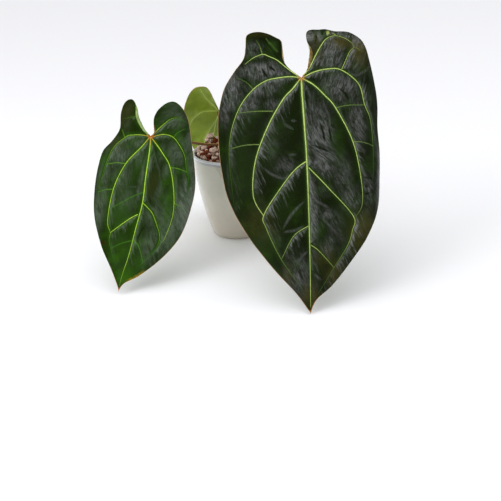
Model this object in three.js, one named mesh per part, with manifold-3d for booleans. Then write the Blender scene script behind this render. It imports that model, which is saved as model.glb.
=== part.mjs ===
// A potted anthurium hybrid with three heart-shaped leaves.
// Millimetres, +Z up. The origin is the centre of the pot's flat base.
import * as THREE from 'three';
import { mergeVertices } from 'three/addons/utils/BufferGeometryUtils.js';
import Module from 'manifold-3d';

const wasm = await Module();
wasm.setup();

// Driving sizes of the pot
const POT_HEIGHT = 131;
const RIM_RADIUS = 65;
const WALL = 4;
const BASE_THICKNESS = 5;
const POT_SIDES = 40;
const DRAIN_RADIUS = 3.5;
const DRAIN_CIRCLE = 22;
const DRAIN_HOLES = 3;

// Clearance between pieces that touch
const GAP = 0.3;

// Driving sizes of the plant
const STEM_RADIUS = 7.5;
const STEM_BOTTOM = 92;
const STEM_TOP = 153;
const BLADE_THICKNESS = 0.8;
const VEIN_HEIGHT = 0.55;
const FINE_VEIN = 1.3;

const xy = (x, y) => new THREE.Vector2(x, y);
const xyz = (x, y, z) => new THREE.Vector3(x, y, z);

// A small seeded random source, so that every build is the same
function randomFrom(seed) {
  let state = seed;
  return (low = 0, high = 1) => {
    state = (Math.imul(state, 1664525) + 1013904223) >>> 0;
    return low + ((high - low) * state) / 4294967296;
  };
}

function between(first, last, share) {
  return first.map((value, i) => value + (last[i] - value) * share);
}

// Solids for cutting and joining
function toSolid(geometry) {
  const bare = geometry.clone();
  bare.deleteAttribute('normal');
  bare.deleteAttribute('uv');
  const merged = mergeVertices(bare);
  return new wasm.Manifold(
    new wasm.Mesh({
      numProp: 3,
      vertProperties: Float32Array.from(merged.attributes.position.array),
      triVerts: Uint32Array.from(merged.index.array),
    })
  );
}

function toGeometry(solid) {
  const mesh = solid.getMesh();
  const geometry = new THREE.BufferGeometry();
  geometry.setAttribute('position', new THREE.BufferAttribute(mesh.vertProperties, 3));
  geometry.setIndex(new THREE.BufferAttribute(mesh.triVerts, 1));
  geometry.computeVertexNormals();
  return geometry;
}

function triangles(points, faces) {
  const geometry = new THREE.BufferGeometry();
  const flat = points.flatMap((point) => [point.x, point.y, point.z]);
  geometry.setAttribute('position', new THREE.Float32BufferAttribute(flat, 3));
  geometry.setIndex(faces.flat());
  return geometry;
}

// A profile of [radius, height] pairs turned about +Z
function lathe(profile, sides) {
  const points = profile.map(([radius, height]) => xy(radius, height));
  return new THREE.LatheGeometry(points, sides).rotateX(Math.PI / 2);
}

// Rings of points joined into a closed tube. A ladder of triangles closes each end, so that a
// ring may be bent like a C.
function skinRings(rings) {
  const sides = rings[0].length;
  const points = rings.flat();
  const faces = [];
  for (let i = 0; i < rings.length - 1; i += 1) {
    for (let j = 0; j < sides; j += 1) {
      const here = i * sides + j;
      const beside = i * sides + ((j + 1) % sides);
      faces.push([here, beside, beside + sides], [here, beside + sides, here + sides]);
    }
  }
  const last = (rings.length - 1) * sides;
  for (let j = 0; j + 1 < sides - 1 - j; j += 1) {
    const far = sides - 1 - j;
    faces.push([far, j + 1, j], [last + j, last + j + 1, last + far]);
    if (j + 1 < far - 1) {
      faces.push([far, far - 1, j + 1], [last + j + 1, last + far - 1, last + far]);
    }
  }
  return triangles(points, faces);
}

// A round tube along a smooth curve, with its radius given along the curve
function taperedTube(route, radiusAt, sides, steps) {
  const curve = new THREE.CatmullRomCurve3(route.map((point) => xyz(...point)));
  const frames = curve.computeFrenetFrames(steps, false);
  const rings = [];
  for (let i = 0; i <= steps; i += 1) {
    const centre = curve.getPointAt(i / steps);
    const radius = radiusAt(i / steps);
    const ring = [];
    for (let j = 0; j < sides; j += 1) {
      const angle = (2 * Math.PI * j) / sides;
      const across = frames.normals[i].clone().multiplyScalar(radius * Math.cos(angle));
      const up = frames.binormals[i].clone().multiplyScalar(radius * Math.sin(angle));
      ring.push(centre.clone().add(across).add(up));
    }
    rings.push(ring);
  }
  return skinRings(rings);
}

// Pot: a thrown shape with a convex taper, a small foot and a narrow lip
const potOutside = [
  [40, 0],
  [43, 2.4],
  [47, 15],
  [51.8, 34],
  [56.4, 58],
  [60.6, 82],
  [62.9, 106],
  [62.9, 125],
  [RIM_RADIUS, 127.4],
  [RIM_RADIUS - 0.4, 130.4],
  [RIM_RADIUS - 1.6, POT_HEIGHT],
];
const potInside = [
  [RIM_RADIUS - 3.2, POT_HEIGHT],
  [RIM_RADIUS - 4.4, 129.6],
  [62.9 - WALL, 106],
  [56.4 - WALL, 58],
  [46.5 - WALL, 14],
  [36, BASE_THICKNESS],
];

function makePot() {
  const profile = [[0, 0], ...potOutside, ...potInside, [0, BASE_THICKNESS]];
  let solid = toSolid(lathe(profile, POT_SIDES));
  for (let i = 0; i < DRAIN_HOLES; i += 1) {
    const angle = (2 * Math.PI * (i + 0.25)) / DRAIN_HOLES;
    const drill = new THREE.CylinderGeometry(DRAIN_RADIUS, DRAIN_RADIUS, 4 * BASE_THICKNESS, 16);
    drill.rotateX(Math.PI / 2);
    drill.translate(DRAIN_CIRCLE * Math.cos(angle), DRAIN_CIRCLE * Math.sin(angle), 0);
    solid = solid.subtract(toSolid(drill));
  }
  return toGeometry(solid);
}

// Stem: a short upright rhizome with leaf scars, and aerial roots that dip into the mix
const stemProfile = [
  [0.55, STEM_BOTTOM],
  [0.85, STEM_BOTTOM + 8],
  [0.8, 112],
  [0.95, 121],
  [0.86, 124],
  [0.98, 131],
  [0.9, 133.5],
  [1, 140],
  [0.88, 142.5],
  [0.9, 148],
  [0.5, STEM_TOP],
];
const rootRoutes = [
  [[0, 0, 130], [-9, -12, 141], [-19, -25, 143], [-28, -36, 134], [-33, -42, 118]],
  [[0, 0, 128], [12, -9, 138], [27, -17, 141], [38, -24, 133], [44, -28, 116]],
  [[0, 0, 132], [10, 12, 143], [20, 24, 145], [27, 34, 137], [31, 40, 119]],
  [[0, 0, 126], [-13, 6, 136], [-25, 9, 139], [-33, 12, 131], [-38, 14, 115]],
];
const ROOT_RADIUS = 2.2;

function stemSolid(extra) {
  const body = stemProfile.map(([share, height]) => [share * STEM_RADIUS + extra, height]);
  body[0][1] -= extra;
  body[body.length - 1][1] += extra;
  const profile = [[0, body[0][1]], ...body, [0, body[body.length - 1][1]]];
  let solid = toSolid(lathe(profile, 14));
  for (const route of rootRoutes) {
    const radiusAt = (along) => ROOT_RADIUS * (1.15 - 0.35 * along) + extra;
    solid = solid.add(toSolid(taperedTube(route, radiusAt, 5, 7)));
  }
  return solid;
}

// Potting mix: a core that fills the pot, domed, with stones of pumice, lava and bark on top
const MIX_RADIUS = 57.5;
const MIX_CROWN = 136.5;
const MIX_FALL = 9;
const DOME = [
  [MIX_RADIUS, 127.4],
  [48, 131.5],
  [32, 135],
  [14, 136.4],
];
const STONES = 54;
const HEAP_STONES = 5;
const HEAP = { x: -30, y: 30, rise: 9, spread: 17 };
const MOUND = { x: -26.1, y: 26.1, z: 129, size: [18, 17, 12] };

// Height of the loose surface that the stones lie on
function domeHeight(x, y) {
  const dome = MIX_CROWN - MIX_FALL * (Math.hypot(x, y) / MIX_RADIUS) ** 2.4;
  const away = ((x - HEAP.x) ** 2 + (y - HEAP.y) ** 2) / (2 * HEAP.spread ** 2);
  return dome + HEAP.rise * Math.exp(-away);
}

function stoneGeometry(size, random) {
  const stone = new THREE.IcosahedronGeometry(1, 0);
  stone.deleteAttribute('normal');
  stone.deleteAttribute('uv');
  const merged = mergeVertices(stone);
  const place = merged.attributes.position;
  for (let i = 0; i < place.count; i += 1) {
    const stretch = random(0.8, 1.15);
    place.setXYZ(i, place.getX(i) * stretch, place.getY(i) * stretch, place.getZ(i) * stretch);
  }
  merged.scale(size * random(0.8, 1.2), size * random(0.7, 1), size * random(0.6, 0.85));
  merged.rotateX(random(-0.6, 0.6));
  merged.rotateZ(random(0, 2 * Math.PI));
  return merged;
}

// Stones keep clear of the stem, of the roots and of the stalks' feet
const STONE_CLEARANCE = 4.5;
const stalkFeet = [
  [[0, 0], [9, -8], [13, -11]],
  [[0, 0], [-13, -10], [-22, -17]],
  [[0, 0], [-5, 9]],
];

function footprints() {
  const places = [];
  for (const route of [...rootRoutes, ...stalkFeet]) {
    for (let i = 0; i < route.length - 1; i += 1) {
      for (const share of [0, 0.25, 0.5, 0.75, 1]) {
        places.push(between(route[i].slice(0, 2), route[i + 1].slice(0, 2), share));
      }
    }
  }
  return places;
}

function isClear(x, y, size) {
  const reach = size + STONE_CLEARANCE;
  return footprints().every(([footX, footY]) => Math.hypot(x - footX, y - footY) > reach);
}

// Stones spread over the whole top, and a few more on the heap
function stonePlaces(random) {
  const golden = Math.PI * (3 - Math.sqrt(5));
  const places = [];
  for (let i = 0; i < STONES; i += 1) {
    const size = random(4.6, 8.2);
    const angle = i * golden + random(-0.2, 0.2);
    const radius = Math.min(55 * Math.sqrt((i + 0.5) / STONES), 56.5 - 1.25 * size);
    places.push({ x: radius * Math.cos(angle), y: radius * Math.sin(angle), size });
  }
  for (let i = 0; i < HEAP_STONES; i += 1) {
    const x = HEAP.x + random(-12, 10);
    const y = HEAP.y + random(-8, 6);
    places.push({ x, y, size: random(5.4, 7.4) });
  }
  return places;
}

function makeMix() {
  const fill = potInside
    .slice(2)
    .reverse()
    .map(([radius, height]) => [radius - GAP, height + (height === BASE_THICKNESS ? GAP : 0)]);
  const bottom = fill[0][1];
  const crown = DOME[DOME.length - 1][1];
  const profile = [[0, bottom], ...fill, ...DOME, [0, crown]];
  let solid = toSolid(lathe(profile, 28));
  const mound = new THREE.IcosahedronGeometry(1, 1);
  mound.scale(...MOUND.size);
  mound.translate(MOUND.x, MOUND.y, MOUND.z);
  solid = solid.add(toSolid(mound));
  const random = randomFrom(41);
  for (const { x, y, size } of stonePlaces(random)) {
    const stone = stoneGeometry(size, random);
    stone.translate(x, y, domeHeight(x, y));
    if (isClear(x, y, size)) {
      solid = solid.add(toSolid(stone));
    }
  }
  return toGeometry(solid.subtract(stemSolid(GAP)));
}

// Leaves. A blade is laid out flat in (u, v): v runs from the petiole's seat to the tip and u
// across. Relief raises it off that plane towards the upper side.
// side: outline points from the notch over the lobe and down the margin to the tip;
// lobe and shoulder are the numbers of the points at the lobe's top and where the lobe ends.
// veins: [start width, end width, points...].
const largeLeaf = {
  seat: [93.6, -130, 262.3],
  tip: [85.8, -289.6, 5],
  facing: 1,
  arch: 6.5,
  archMiddle: 125,
  crossRadius: 475,
  lobeFall: 0.005,
  earStart: 36,
  earFall: 0.006,
  leftFold: [94, 0.04],
  rightFold: [82, 0.055],
  wave: 1.6,
  spineTop: 20,
  spineEnd: 288,
  steps: 12,
  rings: 4,
  left: {
    points: [
      [0, 0], [-9, -7], [-19, -19], [-23, -32], [-23, -57], [-30, -69], [-44, -82],
      [-60, -87], [-69, -79], [-71, -49], [-74, -32], [-87, -14], [-101, 10], [-109, 42],
      [-110, 72], [-107, 114], [-98, 158], [-77, 201], [-46, 245], [-17, 278], [-4, 297], [0, 303],
    ],
    lobe: 6,
    shoulder: 11,
    centre: [-46, -48],
    lobeSteps: 6,
  },
  right: {
    points: [
      [0, 0], [8, -10], [13, -25], [14.5, -40], [11, -54], [11, -70], [15, -79], [27, -81],
      [38, -84], [51, -76], [69, -76], [77.5, -69], [86, -52], [92, -25], [99, 8], [100, 33],
      [98, 62], [99, 94], [96, 130], [91, 172], [75, 209], [51, 242], [28, 269], [10, 284],
      [3, 294], [0, 303],
    ],
    lobe: 8,
    shoulder: 14,
    centre: [48, -42],
    lobeSteps: 7,
  },
  veins: [
    [2.6, 1, [0, 1], [0, 26], [1, 64], [2, 111], [2, 176], [1, 248], [0, 296]],
    [2, 0.8, [1, 1], [15, 10], [29, 25], [42, 42], [62, 87], [71, 135], [70, 173], [60, 185],
      [57, 201], [49, 220], [31, 247], [10, 279]],
    [2, 0.8, [-1, 1], [-12, 15], [-25, 29], [-46, 65], [-63, 109], [-67, 153], [-55, 179],
      [-53, 195], [-34, 236], [-8, 274]],
    [1.8, 0.8, [-2, 0], [-14, -2], [-31, -1], [-46, 2], [-63, 13], [-81, 36], [-93, 69],
      [-96, 106], [-92, 161]],
    [1.6, 0.8, [-3, -1], [-19, -15], [-30, -26], [-43, -34], [-51, -38], [-60, -35], [-72, -26]],
    [1.8, 0.8, [2, 0], [16, -7], [33, -11], [52, -10], [74, 9], [80, 37], [87, 60], [88, 100],
      [85, 140]],
    [1.6, 0.8, [2, -2], [11, -13], [20, -31], [29, -48], [37, -60], [48, -67], [61, -63],
      [73, -44]],
    [1.2, 0.8, [4, 120], [14, 131], [28, 147], [60, 185]],
    [1.2, 0.8, [3, 218], [13, 226], [31, 247]],
    [1.2, 0.8, [1, 112], [-12, 121], [-27, 138], [-55, 179]],
    [1.2, 0.8, [1, 194], [-18, 206], [-34, 234]],
    [1, 0.8, [-38, 44], [-60, 43], [-86, 43]],
    [1, 0.8, [-57, 87], [-76, 87], [-94, 90]],
    [1, 0.8, [42, 42], [58, 39], [79, 38]],
    [1, 0.8, [62, 87], [75, 88], [88, 92]],
    [1, 0.8, [53, -11], [61, -26], [67, -38], [81, -40]],
  ],
};

const leftLeaf = {
  seat: [-112.6, -95, 187],
  tip: [-165, -205, 11],
  facing: 1,
  arch: 5,
  archMiddle: 90,
  crossRadius: 350,
  lobeFall: 0.006,
  earStart: 26,
  earFall: 0.008,
  leftFold: [54, 0.04],
  rightFold: [60, 0.05],
  wave: 1.3,
  spineTop: 14,
  spineEnd: 206,
  steps: 11,
  rings: 4,
  left: {
    points: [
      [0, 0], [-10.5, -6.5], [-23, -22], [-31, -41], [-38, -51], [-45, -54], [-48.5, -45],
      [-48, -25], [-43, -3], [-49, 18], [-60, 35], [-63, 56], [-60, 88], [-52, 125],
      [-35, 161], [-15, 190], [-3, 210], [0, 217],
    ],
    lobe: 5,
    shoulder: 9,
    centre: [-35, -33],
    lobeSteps: 5,
  },
  right: {
    points: [
      [0, 0], [4.5, -7], [0, -18], [-1.5, -30], [2, -45], [9.5, -60], [19, -62], [33, -51.5],
      [45.5, -33], [55.5, -6], [65.5, 25], [72, 52], [73.5, 78], [70, 115], [62, 141], [46, 167],
      [24, 191], [6, 205], [0, 217],
    ],
    lobe: 6,
    shoulder: 10,
    centre: [22, -36],
    lobeSteps: 5,
  },
  veins: [
    [2.2, 0.8, [0, 1], [3, 20], [6, 60], [9, 95], [7, 130], [5, 165], [1, 195], [0, 210]],
    [1.7, 0.8, [-1, 2], [-9, 18], [-25, 45], [-34, 82], [-33, 126], [-26, 142], [-25, 154],
      [-13, 180]],
    [1.7, 0.8, [1, 2], [10, 10], [21, 21], [35, 38], [47, 71], [52, 102], [49, 130],
      [39, 151], [22, 180]],
    [1.4, 0.8, [-3, 1], [-13, 1], [-24, 3], [-34, 8], [-49, 31], [-54, 75], [-51, 105]],
    [1.4, 0.8, [3, 1], [10, -3], [19, -6], [31, -4], [49, 17], [60, 44], [65, 72], [64, 100]],
    [1.2, 0.8, [-3, 1], [-12, -8], [-21, -17], [-27, -24], [-43, -18]],
    [1.2, 0.8, [2, 0], [6, -8], [13, -19], [22, -31], [31, -34], [42, -30]],
    [1, 0.8, [9, 94], [19, 101], [36, 125], [40, 148]],
    [1, 0.8, [6, 111], [-4, 119], [-26, 142]],
    [1, 0.8, [-25, 45], [-38, 46], [-51, 50]],
    [1, 0.8, [-34, 83], [-43, 85], [-54, 90]],
    [1, 0.8, [35, 39], [46, 38], [59, 40]],
    [1, 0.8, [50, 86], [61, 90], [66, 93]],
  ],
};

// The margin of the small leaf, alike on both sides apart from its width
const smallMargin = [
  [0, 0], [4, -9], [12, -27], [20, -45], [28, -56], [36, -59], [44, -53], [51, -35], [54.5, -8],
  [50.5, 18], [44, 48], [36, 77], [26, 104], [13, 128], [3, 143], [0, 149],
];
const smallVeins = [
  [1.6, 0.8, [2, -1], [11, -13], [25, -31], [36, -53]],
  [1.6, 0.8, [2, 0], [17, 2], [27, 6], [38, 23], [42, 45]],
  [1.6, 0.8, [1, 3], [9, 18], [18, 40], [24, 66], [24, 96]],
];
const mirrored = (points) => points.map(([u, v]) => [-0.96 * u, v]);

const smallLeaf = {
  seat: [-20.3, 34, 183.5],
  tip: [-50, 114, 62],
  facing: -1,
  arch: 4,
  archMiddle: 62,
  crossRadius: 250,
  lobeFall: 0.002,
  earStart: 20,
  earFall: 0,
  leftFold: [48, 0.03],
  rightFold: [48, 0.03],
  wave: 1,
  spineTop: 10,
  spineEnd: 140,
  steps: 8,
  rings: 4,
  left: { points: mirrored(smallMargin), lobe: 5, shoulder: 9, centre: [-29, -30], lobeSteps: 4 },
  right: { points: smallMargin, lobe: 5, shoulder: 9, centre: [30, -30], lobeSteps: 4 },
  veins: [
    [2, 0.8, [0, 1], [1, 40], [0, 90], [0, 142]],
    ...smallVeins,
    ...smallVeins.map(([start, end, ...points]) => [start, end, ...mirrored(points)]),
  ],
};

// Axes of a leaf: across, along and out of its upper side
function leafAxes(leaf) {
  const seat = xyz(...leaf.seat);
  const along = xyz(...leaf.tip).sub(seat).normalize();
  const across = xyz(leaf.facing, 0, 0);
  across.addScaledVector(along, -across.dot(along)).normalize();
  const out = along.clone().cross(across);
  return { seat, along, across, out };
}

const beyond = (value, start) => Math.max(0, value - start) ** 2;

// Height of the blade above its own plane
function relief(leaf, u, v) {
  let height = -(u * u) / (2 * leaf.crossRadius);
  if (v > 0) {
    height += leaf.arch * (1 - ((v - leaf.archMiddle) / leaf.archMiddle) ** 2);
  } else {
    height -= leaf.lobeFall * v * v;
  }
  height -= leaf.earFall * beyond(-v, leaf.earStart) * (u < 0 ? 1 : 0.6);
  height -= leaf.rightFold[1] * beyond(u, leaf.rightFold[0]);
  height -= leaf.leftFold[1] * beyond(-u, leaf.leftFold[0]);
  return height;
}

function onBlade(leaf, axes, u, v, lift = 0) {
  return axes.seat
    .clone()
    .addScaledVector(axes.across, u)
    .addScaledVector(axes.along, v)
    .addScaledVector(axes.out, relief(leaf, u, v) + lift);
}

// Unit vector square to the blade at (u, v), on its upper side
function bladeNormal(leaf, axes, u, v) {
  const step = 0.5;
  const acrossStep = onBlade(leaf, axes, u + step, v).sub(onBlade(leaf, axes, u - step, v));
  const alongStep = onBlade(leaf, axes, u, v + step).sub(onBlade(leaf, axes, u, v - step));
  return alongStep.cross(acrossStep).normalize();
}

// Columns of one half blade, from the notch to the tip. A column runs from a spine point, on the
// midrib or inside the lobe, to an outline point. The lobe's spine is walked out and back.
function halfColumns(leaf, half) {
  const curve = new THREE.SplineCurve(half.points.map(([u, v]) => xy(u, v)));
  const last = half.points.length - 1;
  const top = [0, leaf.spineTop];
  const lobeSpine = [];
  for (let i = 0; i <= half.lobeSteps; i += 1) {
    lobeSpine.push(between(top, half.centre, i / half.lobeSteps));
  }
  const columns = [];
  const addColumn = (inner, place) => {
    const outer = curve.getPoint(place / last);
    columns.push({ inner, outer: [outer.x, outer.y], place });
  };
  for (let i = 0; i <= half.lobeSteps; i += 1) {
    addColumn(lobeSpine[i], (half.lobe * i) / half.lobeSteps);
  }
  for (let i = 1; i <= half.lobeSteps; i += 1) {
    const place = half.lobe + ((half.shoulder - half.lobe) * i) / half.lobeSteps;
    addColumn(lobeSpine[half.lobeSteps - i], place);
  }
  for (let i = 1; i <= leaf.steps; i += 1) {
    const spine = [0, leaf.spineTop + ((leaf.spineEnd - leaf.spineTop) * i) / leaf.steps];
    addColumn(spine, half.shoulder + ((last - half.shoulder) * i) / leaf.steps);
  }
  return columns;
}

// The thin blade: the same triangles on both faces and a strip round the edge
function bladeGeometry(leaf, axes, thickness) {
  const left = halfColumns(leaf, leaf.left);
  const right = halfColumns(leaf, leaf.right);
  const columns = [...left, ...right.slice(1, -1).reverse()];
  const points = [];
  const faces = [];
  const rows = leaf.rings + 1;
  for (const { inner, outer, place } of columns) {
    for (let i = 0; i < rows; i += 1) {
      const share = 1 - (1 - i / leaf.rings) ** 1.4;
      const [u, v] = between(inner, outer, share);
      const lift = leaf.wave * share ** 5 * Math.sin(2.2 * place);
      const middle = onBlade(leaf, axes, u, v, lift);
      const normal = bladeNormal(leaf, axes, u, v);
      points.push(middle.clone().addScaledVector(normal, thickness / 2));
      points.push(middle.clone().addScaledVector(normal, -thickness / 2));
    }
  }
  const at = (column, row, face) => 2 * ((column % columns.length) * rows + row) + face;
  for (let c = 0; c < columns.length; c += 1) {
    for (let r = 0; r < leaf.rings; r += 1) {
      for (const [face, turn] of [[0, false], [1, true]]) {
        const square = [
          at(c, r, face),
          at(c, r + 1, face),
          at(c + 1, r + 1, face),
          at(c + 1, r, face),
        ];
        const pair = [
          [square[0], square[1], square[2]],
          [square[0], square[2], square[3]],
        ];
        faces.push(...pair.map((face3) => (turn ? face3.reverse() : face3)));
      }
    }
    const edge = leaf.rings;
    faces.push([at(c, edge, 1), at(c + 1, edge, 1), at(c + 1, edge, 0)]);
    faces.push([at(c, edge, 1), at(c + 1, edge, 0), at(c, edge, 0)]);
  }
  return triangles(points, faces);
}

// A vein: a slim four-sided rib that follows the blade. A main one stands out of both faces and
// a fine one out of the upper face alone.
function veinGeometry(leaf, axes, [startWidth, endWidth, ...route]) {
  const curve = new THREE.SplineCurve(route.map(([u, v]) => xy(u, v)));
  const steps = route.length;
  const rings = [];
  for (let i = 0; i <= steps; i += 1) {
    const share = i / steps;
    const { x: u, y: v } = curve.getPoint(share);
    const heading = curve.getTangent(share);
    const width = startWidth + (endWidth - startWidth) * share;
    const rise = BLADE_THICKNESS / 2 + VEIN_HEIGHT * (0.45 + 0.35 * width);
    const fall = startWidth > FINE_VEIN ? rise : BLADE_THICKNESS / 8;
    const middle = onBlade(leaf, axes, u, v);
    const normal = bladeNormal(leaf, axes, u, v);
    const aside = onBlade(leaf, axes, u - heading.y, v + heading.x).sub(middle).normalize();
    rings.push([
      middle.clone().addScaledVector(aside, width),
      middle.clone().addScaledVector(normal, -fall),
      middle.clone().addScaledVector(aside, -width),
      middle.clone().addScaledVector(normal, rise),
    ]);
  }
  return skinRings(rings);
}

function bladeSolid(leaf) {
  const axes = leafAxes(leaf);
  let solid = toSolid(bladeGeometry(leaf, axes, BLADE_THICKNESS));
  for (const vein of leaf.veins) {
    solid = solid.add(toSolid(veinGeometry(leaf, axes, vein)));
  }
  return solid;
}

// Petioles: long round stalks, swollen where they leave the stem and behind the blade.
// RIB_ROOM keeps them clear of the ribs on the blade's underside.
const RIB_ROOM = 0.8;
const petiolePlans = {
  petiole_large: {
    leaf: largeLeaf,
    radius: 2.5,
    steps: 22,
    route: [[1, -1, 139], [10, -9, 149], [18, -16, 177], [34, -32, 213], [58, -64, 239],
      [82, -101, 251]],
  },
  petiole_left: {
    leaf: leftLeaf,
    radius: 2.1,
    steps: 16,
    route: [[0, 0, 142], [-13, -10, 144.5], [-32, -25, 148.5], [-62, -48, 161], [-92, -72, 181]],
  },
  petiole_small: {
    leaf: smallLeaf,
    radius: 1.8,
    steps: 10,
    route: [[0, 1, 141], [-5, 9, 154], [-13, 18, 170]],
  },
};

// The last points of a petiole: a short bend (the geniculum) that meets the blade's underside
function kneeRoute(leaf) {
  const axes = leafAxes(leaf);
  const behind = onBlade(leaf, axes, 0, 4).addScaledVector(axes.out, -8);
  const seat = onBlade(leaf, axes, 0, 4);
  return [behind.toArray(), seat.toArray()];
}

function makePetiole({ leaf, radius, steps, route }) {
  const radiusAt = (along) => {
    const sheath = 0.7 * Math.exp(-((along / 0.13) ** 2));
    const knee = 0.55 * Math.exp(-(((along - 0.97) / 0.06) ** 2));
    return radius * (1 + sheath + knee);
  };
  const tube = taperedTube([...route, ...kneeRoute(leaf)], radiusAt, 8, steps);
  const axes = leafAxes(leaf);
  const clearThickness = BLADE_THICKNESS + 2 * (GAP + RIB_ROOM);
  const clearOfBlade = toSolid(bladeGeometry(leaf, axes, clearThickness));
  return toGeometry(toSolid(tube).subtract(clearOfBlade).subtract(stemSolid(GAP)));
}

// Cataphylls: dry, papery sheaths that hug the stem above its roots and lean out to a point
const CATAPHYLL_BASE = 144.5;
const CATAPHYLL_WALL = 0.8;
const cataphylls = [
  { turn: 0.75, spread: 0.62, height: 42, lean: 8 },
  { turn: -1.64, spread: 0.24, height: 27, lean: 6 },
];

function makeCataphyll({ turn, spread, height, lean }) {
  const across = 4;
  const up = 6;
  const hug = 0.92 * STEM_RADIUS + GAP;
  const rings = [];
  for (let j = 0; j <= up; j += 1) {
    const rise = j / up;
    const half = spread * (1 - rise ** 1.7) + 0.05;
    const reach = hug + lean * rise ** 1.6;
    const outer = [];
    const inner = [];
    for (let i = 0; i <= across; i += 1) {
      const angle = turn + half * (2 * (i / across) - 1);
      const heading = xyz(Math.cos(angle), Math.sin(angle), 0);
      const lift = xyz(0, 0, CATAPHYLL_BASE + height * rise);
      outer.push(lift.clone().addScaledVector(heading, reach + CATAPHYLL_WALL));
      inner.push(lift.clone().addScaledVector(heading, reach));
    }
    rings.push([...outer, ...inner.reverse()]);
  }
  return skinRings(rings);
}

// Surface of each kind of piece
const finish = (color, roughness) =>
  new THREE.MeshStandardMaterial({ color, roughness, metalness: 0, flatShading: true });
const glaze = finish(0xe4e2da, 0.18);
const substrate = finish(0xc9b49a, 0.95);
const bark = finish(0x6e5a3c, 0.9);
const paper = finish(0xa8804e, 0.85);
const stalk = finish(0x6a5a30, 0.55);
const darkBlade = finish(0x1b2b1a, 0.35);
const youngBlade = finish(0x7d8f3a, 0.5);

function piece(name, geometry, material) {
  const mesh = new THREE.Mesh(geometry, material);
  mesh.name = name;
  return mesh;
}

const plant = new THREE.Group();
plant.add(piece('pot', makePot(), glaze));
plant.add(piece('potting_mix', makeMix(), substrate));
plant.add(piece('stem', toGeometry(stemSolid(0)), bark));
for (const [name, plan] of Object.entries(petiolePlans)) {
  plant.add(piece(name, makePetiole(plan), stalk));
}
plant.add(piece('blade_large', toGeometry(bladeSolid(largeLeaf)), darkBlade));
plant.add(piece('blade_left', toGeometry(bladeSolid(leftLeaf)), darkBlade));
plant.add(piece('blade_small', toGeometry(bladeSolid(smallLeaf)), youngBlade));
cataphylls.forEach((plan, i) => {
  plant.add(piece(`cataphyll_${i + 1}`, makeCataphyll(plan), paper));
});

export default plant;
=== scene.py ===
# A potted anthurium hybrid: heart-shaped leaves hang on slender stalks from a short stem, in a
# white glazed pot filled with a chunky mix of pumice, lava rock and bark.
# The scene is in metres. Sizes written here are in millimetres, and MM turns them into metres.
import math
import random

import bmesh
import bpy
import numpy as np
from mathutils import Matrix, Vector, noise
from mathutils.bvhtree import BVHTree


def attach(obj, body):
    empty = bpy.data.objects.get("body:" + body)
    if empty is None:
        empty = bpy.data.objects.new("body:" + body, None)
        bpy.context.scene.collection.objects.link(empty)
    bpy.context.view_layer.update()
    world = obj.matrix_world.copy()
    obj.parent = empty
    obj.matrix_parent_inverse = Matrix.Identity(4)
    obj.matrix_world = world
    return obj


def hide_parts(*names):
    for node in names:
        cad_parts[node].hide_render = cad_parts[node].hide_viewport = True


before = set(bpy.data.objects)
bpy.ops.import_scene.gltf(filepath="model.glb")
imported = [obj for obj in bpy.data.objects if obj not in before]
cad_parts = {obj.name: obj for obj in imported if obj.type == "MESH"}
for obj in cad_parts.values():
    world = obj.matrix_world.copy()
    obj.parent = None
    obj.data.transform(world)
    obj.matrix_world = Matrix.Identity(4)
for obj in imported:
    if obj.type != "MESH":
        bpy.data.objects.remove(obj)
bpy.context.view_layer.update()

MM = 0.001


# View, lights and floor
CAMERA_PLACE = (15.05, -1099.25, 473.49)
CAMERA_PITCH = 25.02
CAMERA_ROLL = -3.36
FOCAL_SHARE = 750 / 501
SENSOR_WIDTH = 36
SUN_TURN = (math.radians(8), math.radians(-12), 0)


def place_camera():
    data = bpy.data.cameras.new("camera")
    data.sensor_width = SENSOR_WIDTH
    data.lens = SENSOR_WIDTH * FOCAL_SHARE
    data.clip_start = 0.02
    data.clip_end = 50
    camera = bpy.data.objects.new("camera", data)
    bpy.context.scene.collection.objects.link(camera)
    tilt = Matrix.Rotation(math.radians(90 - CAMERA_PITCH), 4, "X")
    roll = Matrix.Rotation(math.radians(CAMERA_ROLL), 4, "Z")
    camera.matrix_world = Matrix.Translation(Vector(CAMERA_PLACE) * MM) @ tilt @ roll
    bpy.context.scene.camera = camera


def softbox(name, place, target, width, height, power):
    """A rectangular soft light that faces a target; places in metres."""
    bpy.ops.object.light_add(type="AREA", location=place)
    light = bpy.context.object
    light.name = name
    light.data.shape = "RECTANGLE"
    light.data.size = width
    light.data.size_y = height
    light.data.energy = power
    aim = Vector(target) - Vector(place)
    light.rotation_euler = aim.to_track_quat("-Z", "Y").to_euler()
    light.visible_glossy = False


def light_the_scene():
    softbox("key_left", (-1.75, -1.2, 1.35), (0, -0.1, 0.15), 1.1, 1.1, 20)
    softbox("right_fill", (2.0, -0.3, 0.9), (0, 0, 0.1), 0.9, 1.2, 4)
    bpy.ops.object.light_add(type="SUN", location=(-0.4, -0.8, 2.6), rotation=SUN_TURN)
    sun = bpy.context.object
    sun.name = "soft_sky"
    sun.data.energy = 2.2
    sun.data.angle = math.radians(100)
    sun.visible_glossy = False
    world = bpy.data.worlds.new("studio")
    world.use_nodes = True
    background = world.node_tree.nodes["Background"]
    background.inputs["Color"].default_value = (0.96, 0.97, 1, 1)
    background.inputs["Strength"].default_value = 0.45
    world.cycles_visibility.glossy = False
    bpy.context.scene.world = world
    bpy.context.scene.view_settings.view_transform = "Standard"


def make_floor():
    deselect_all()
    bpy.ops.mesh.primitive_plane_add(size=16, location=(0, 2, 0))
    floor = bpy.context.object
    floor.name = "floor"
    floor.data.materials.append(new_finish("pale_floor", tone(238, 238, 240), 0.7)[0])


# Small helpers for objects and meshes
MERGE_GAP = 0.02


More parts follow.
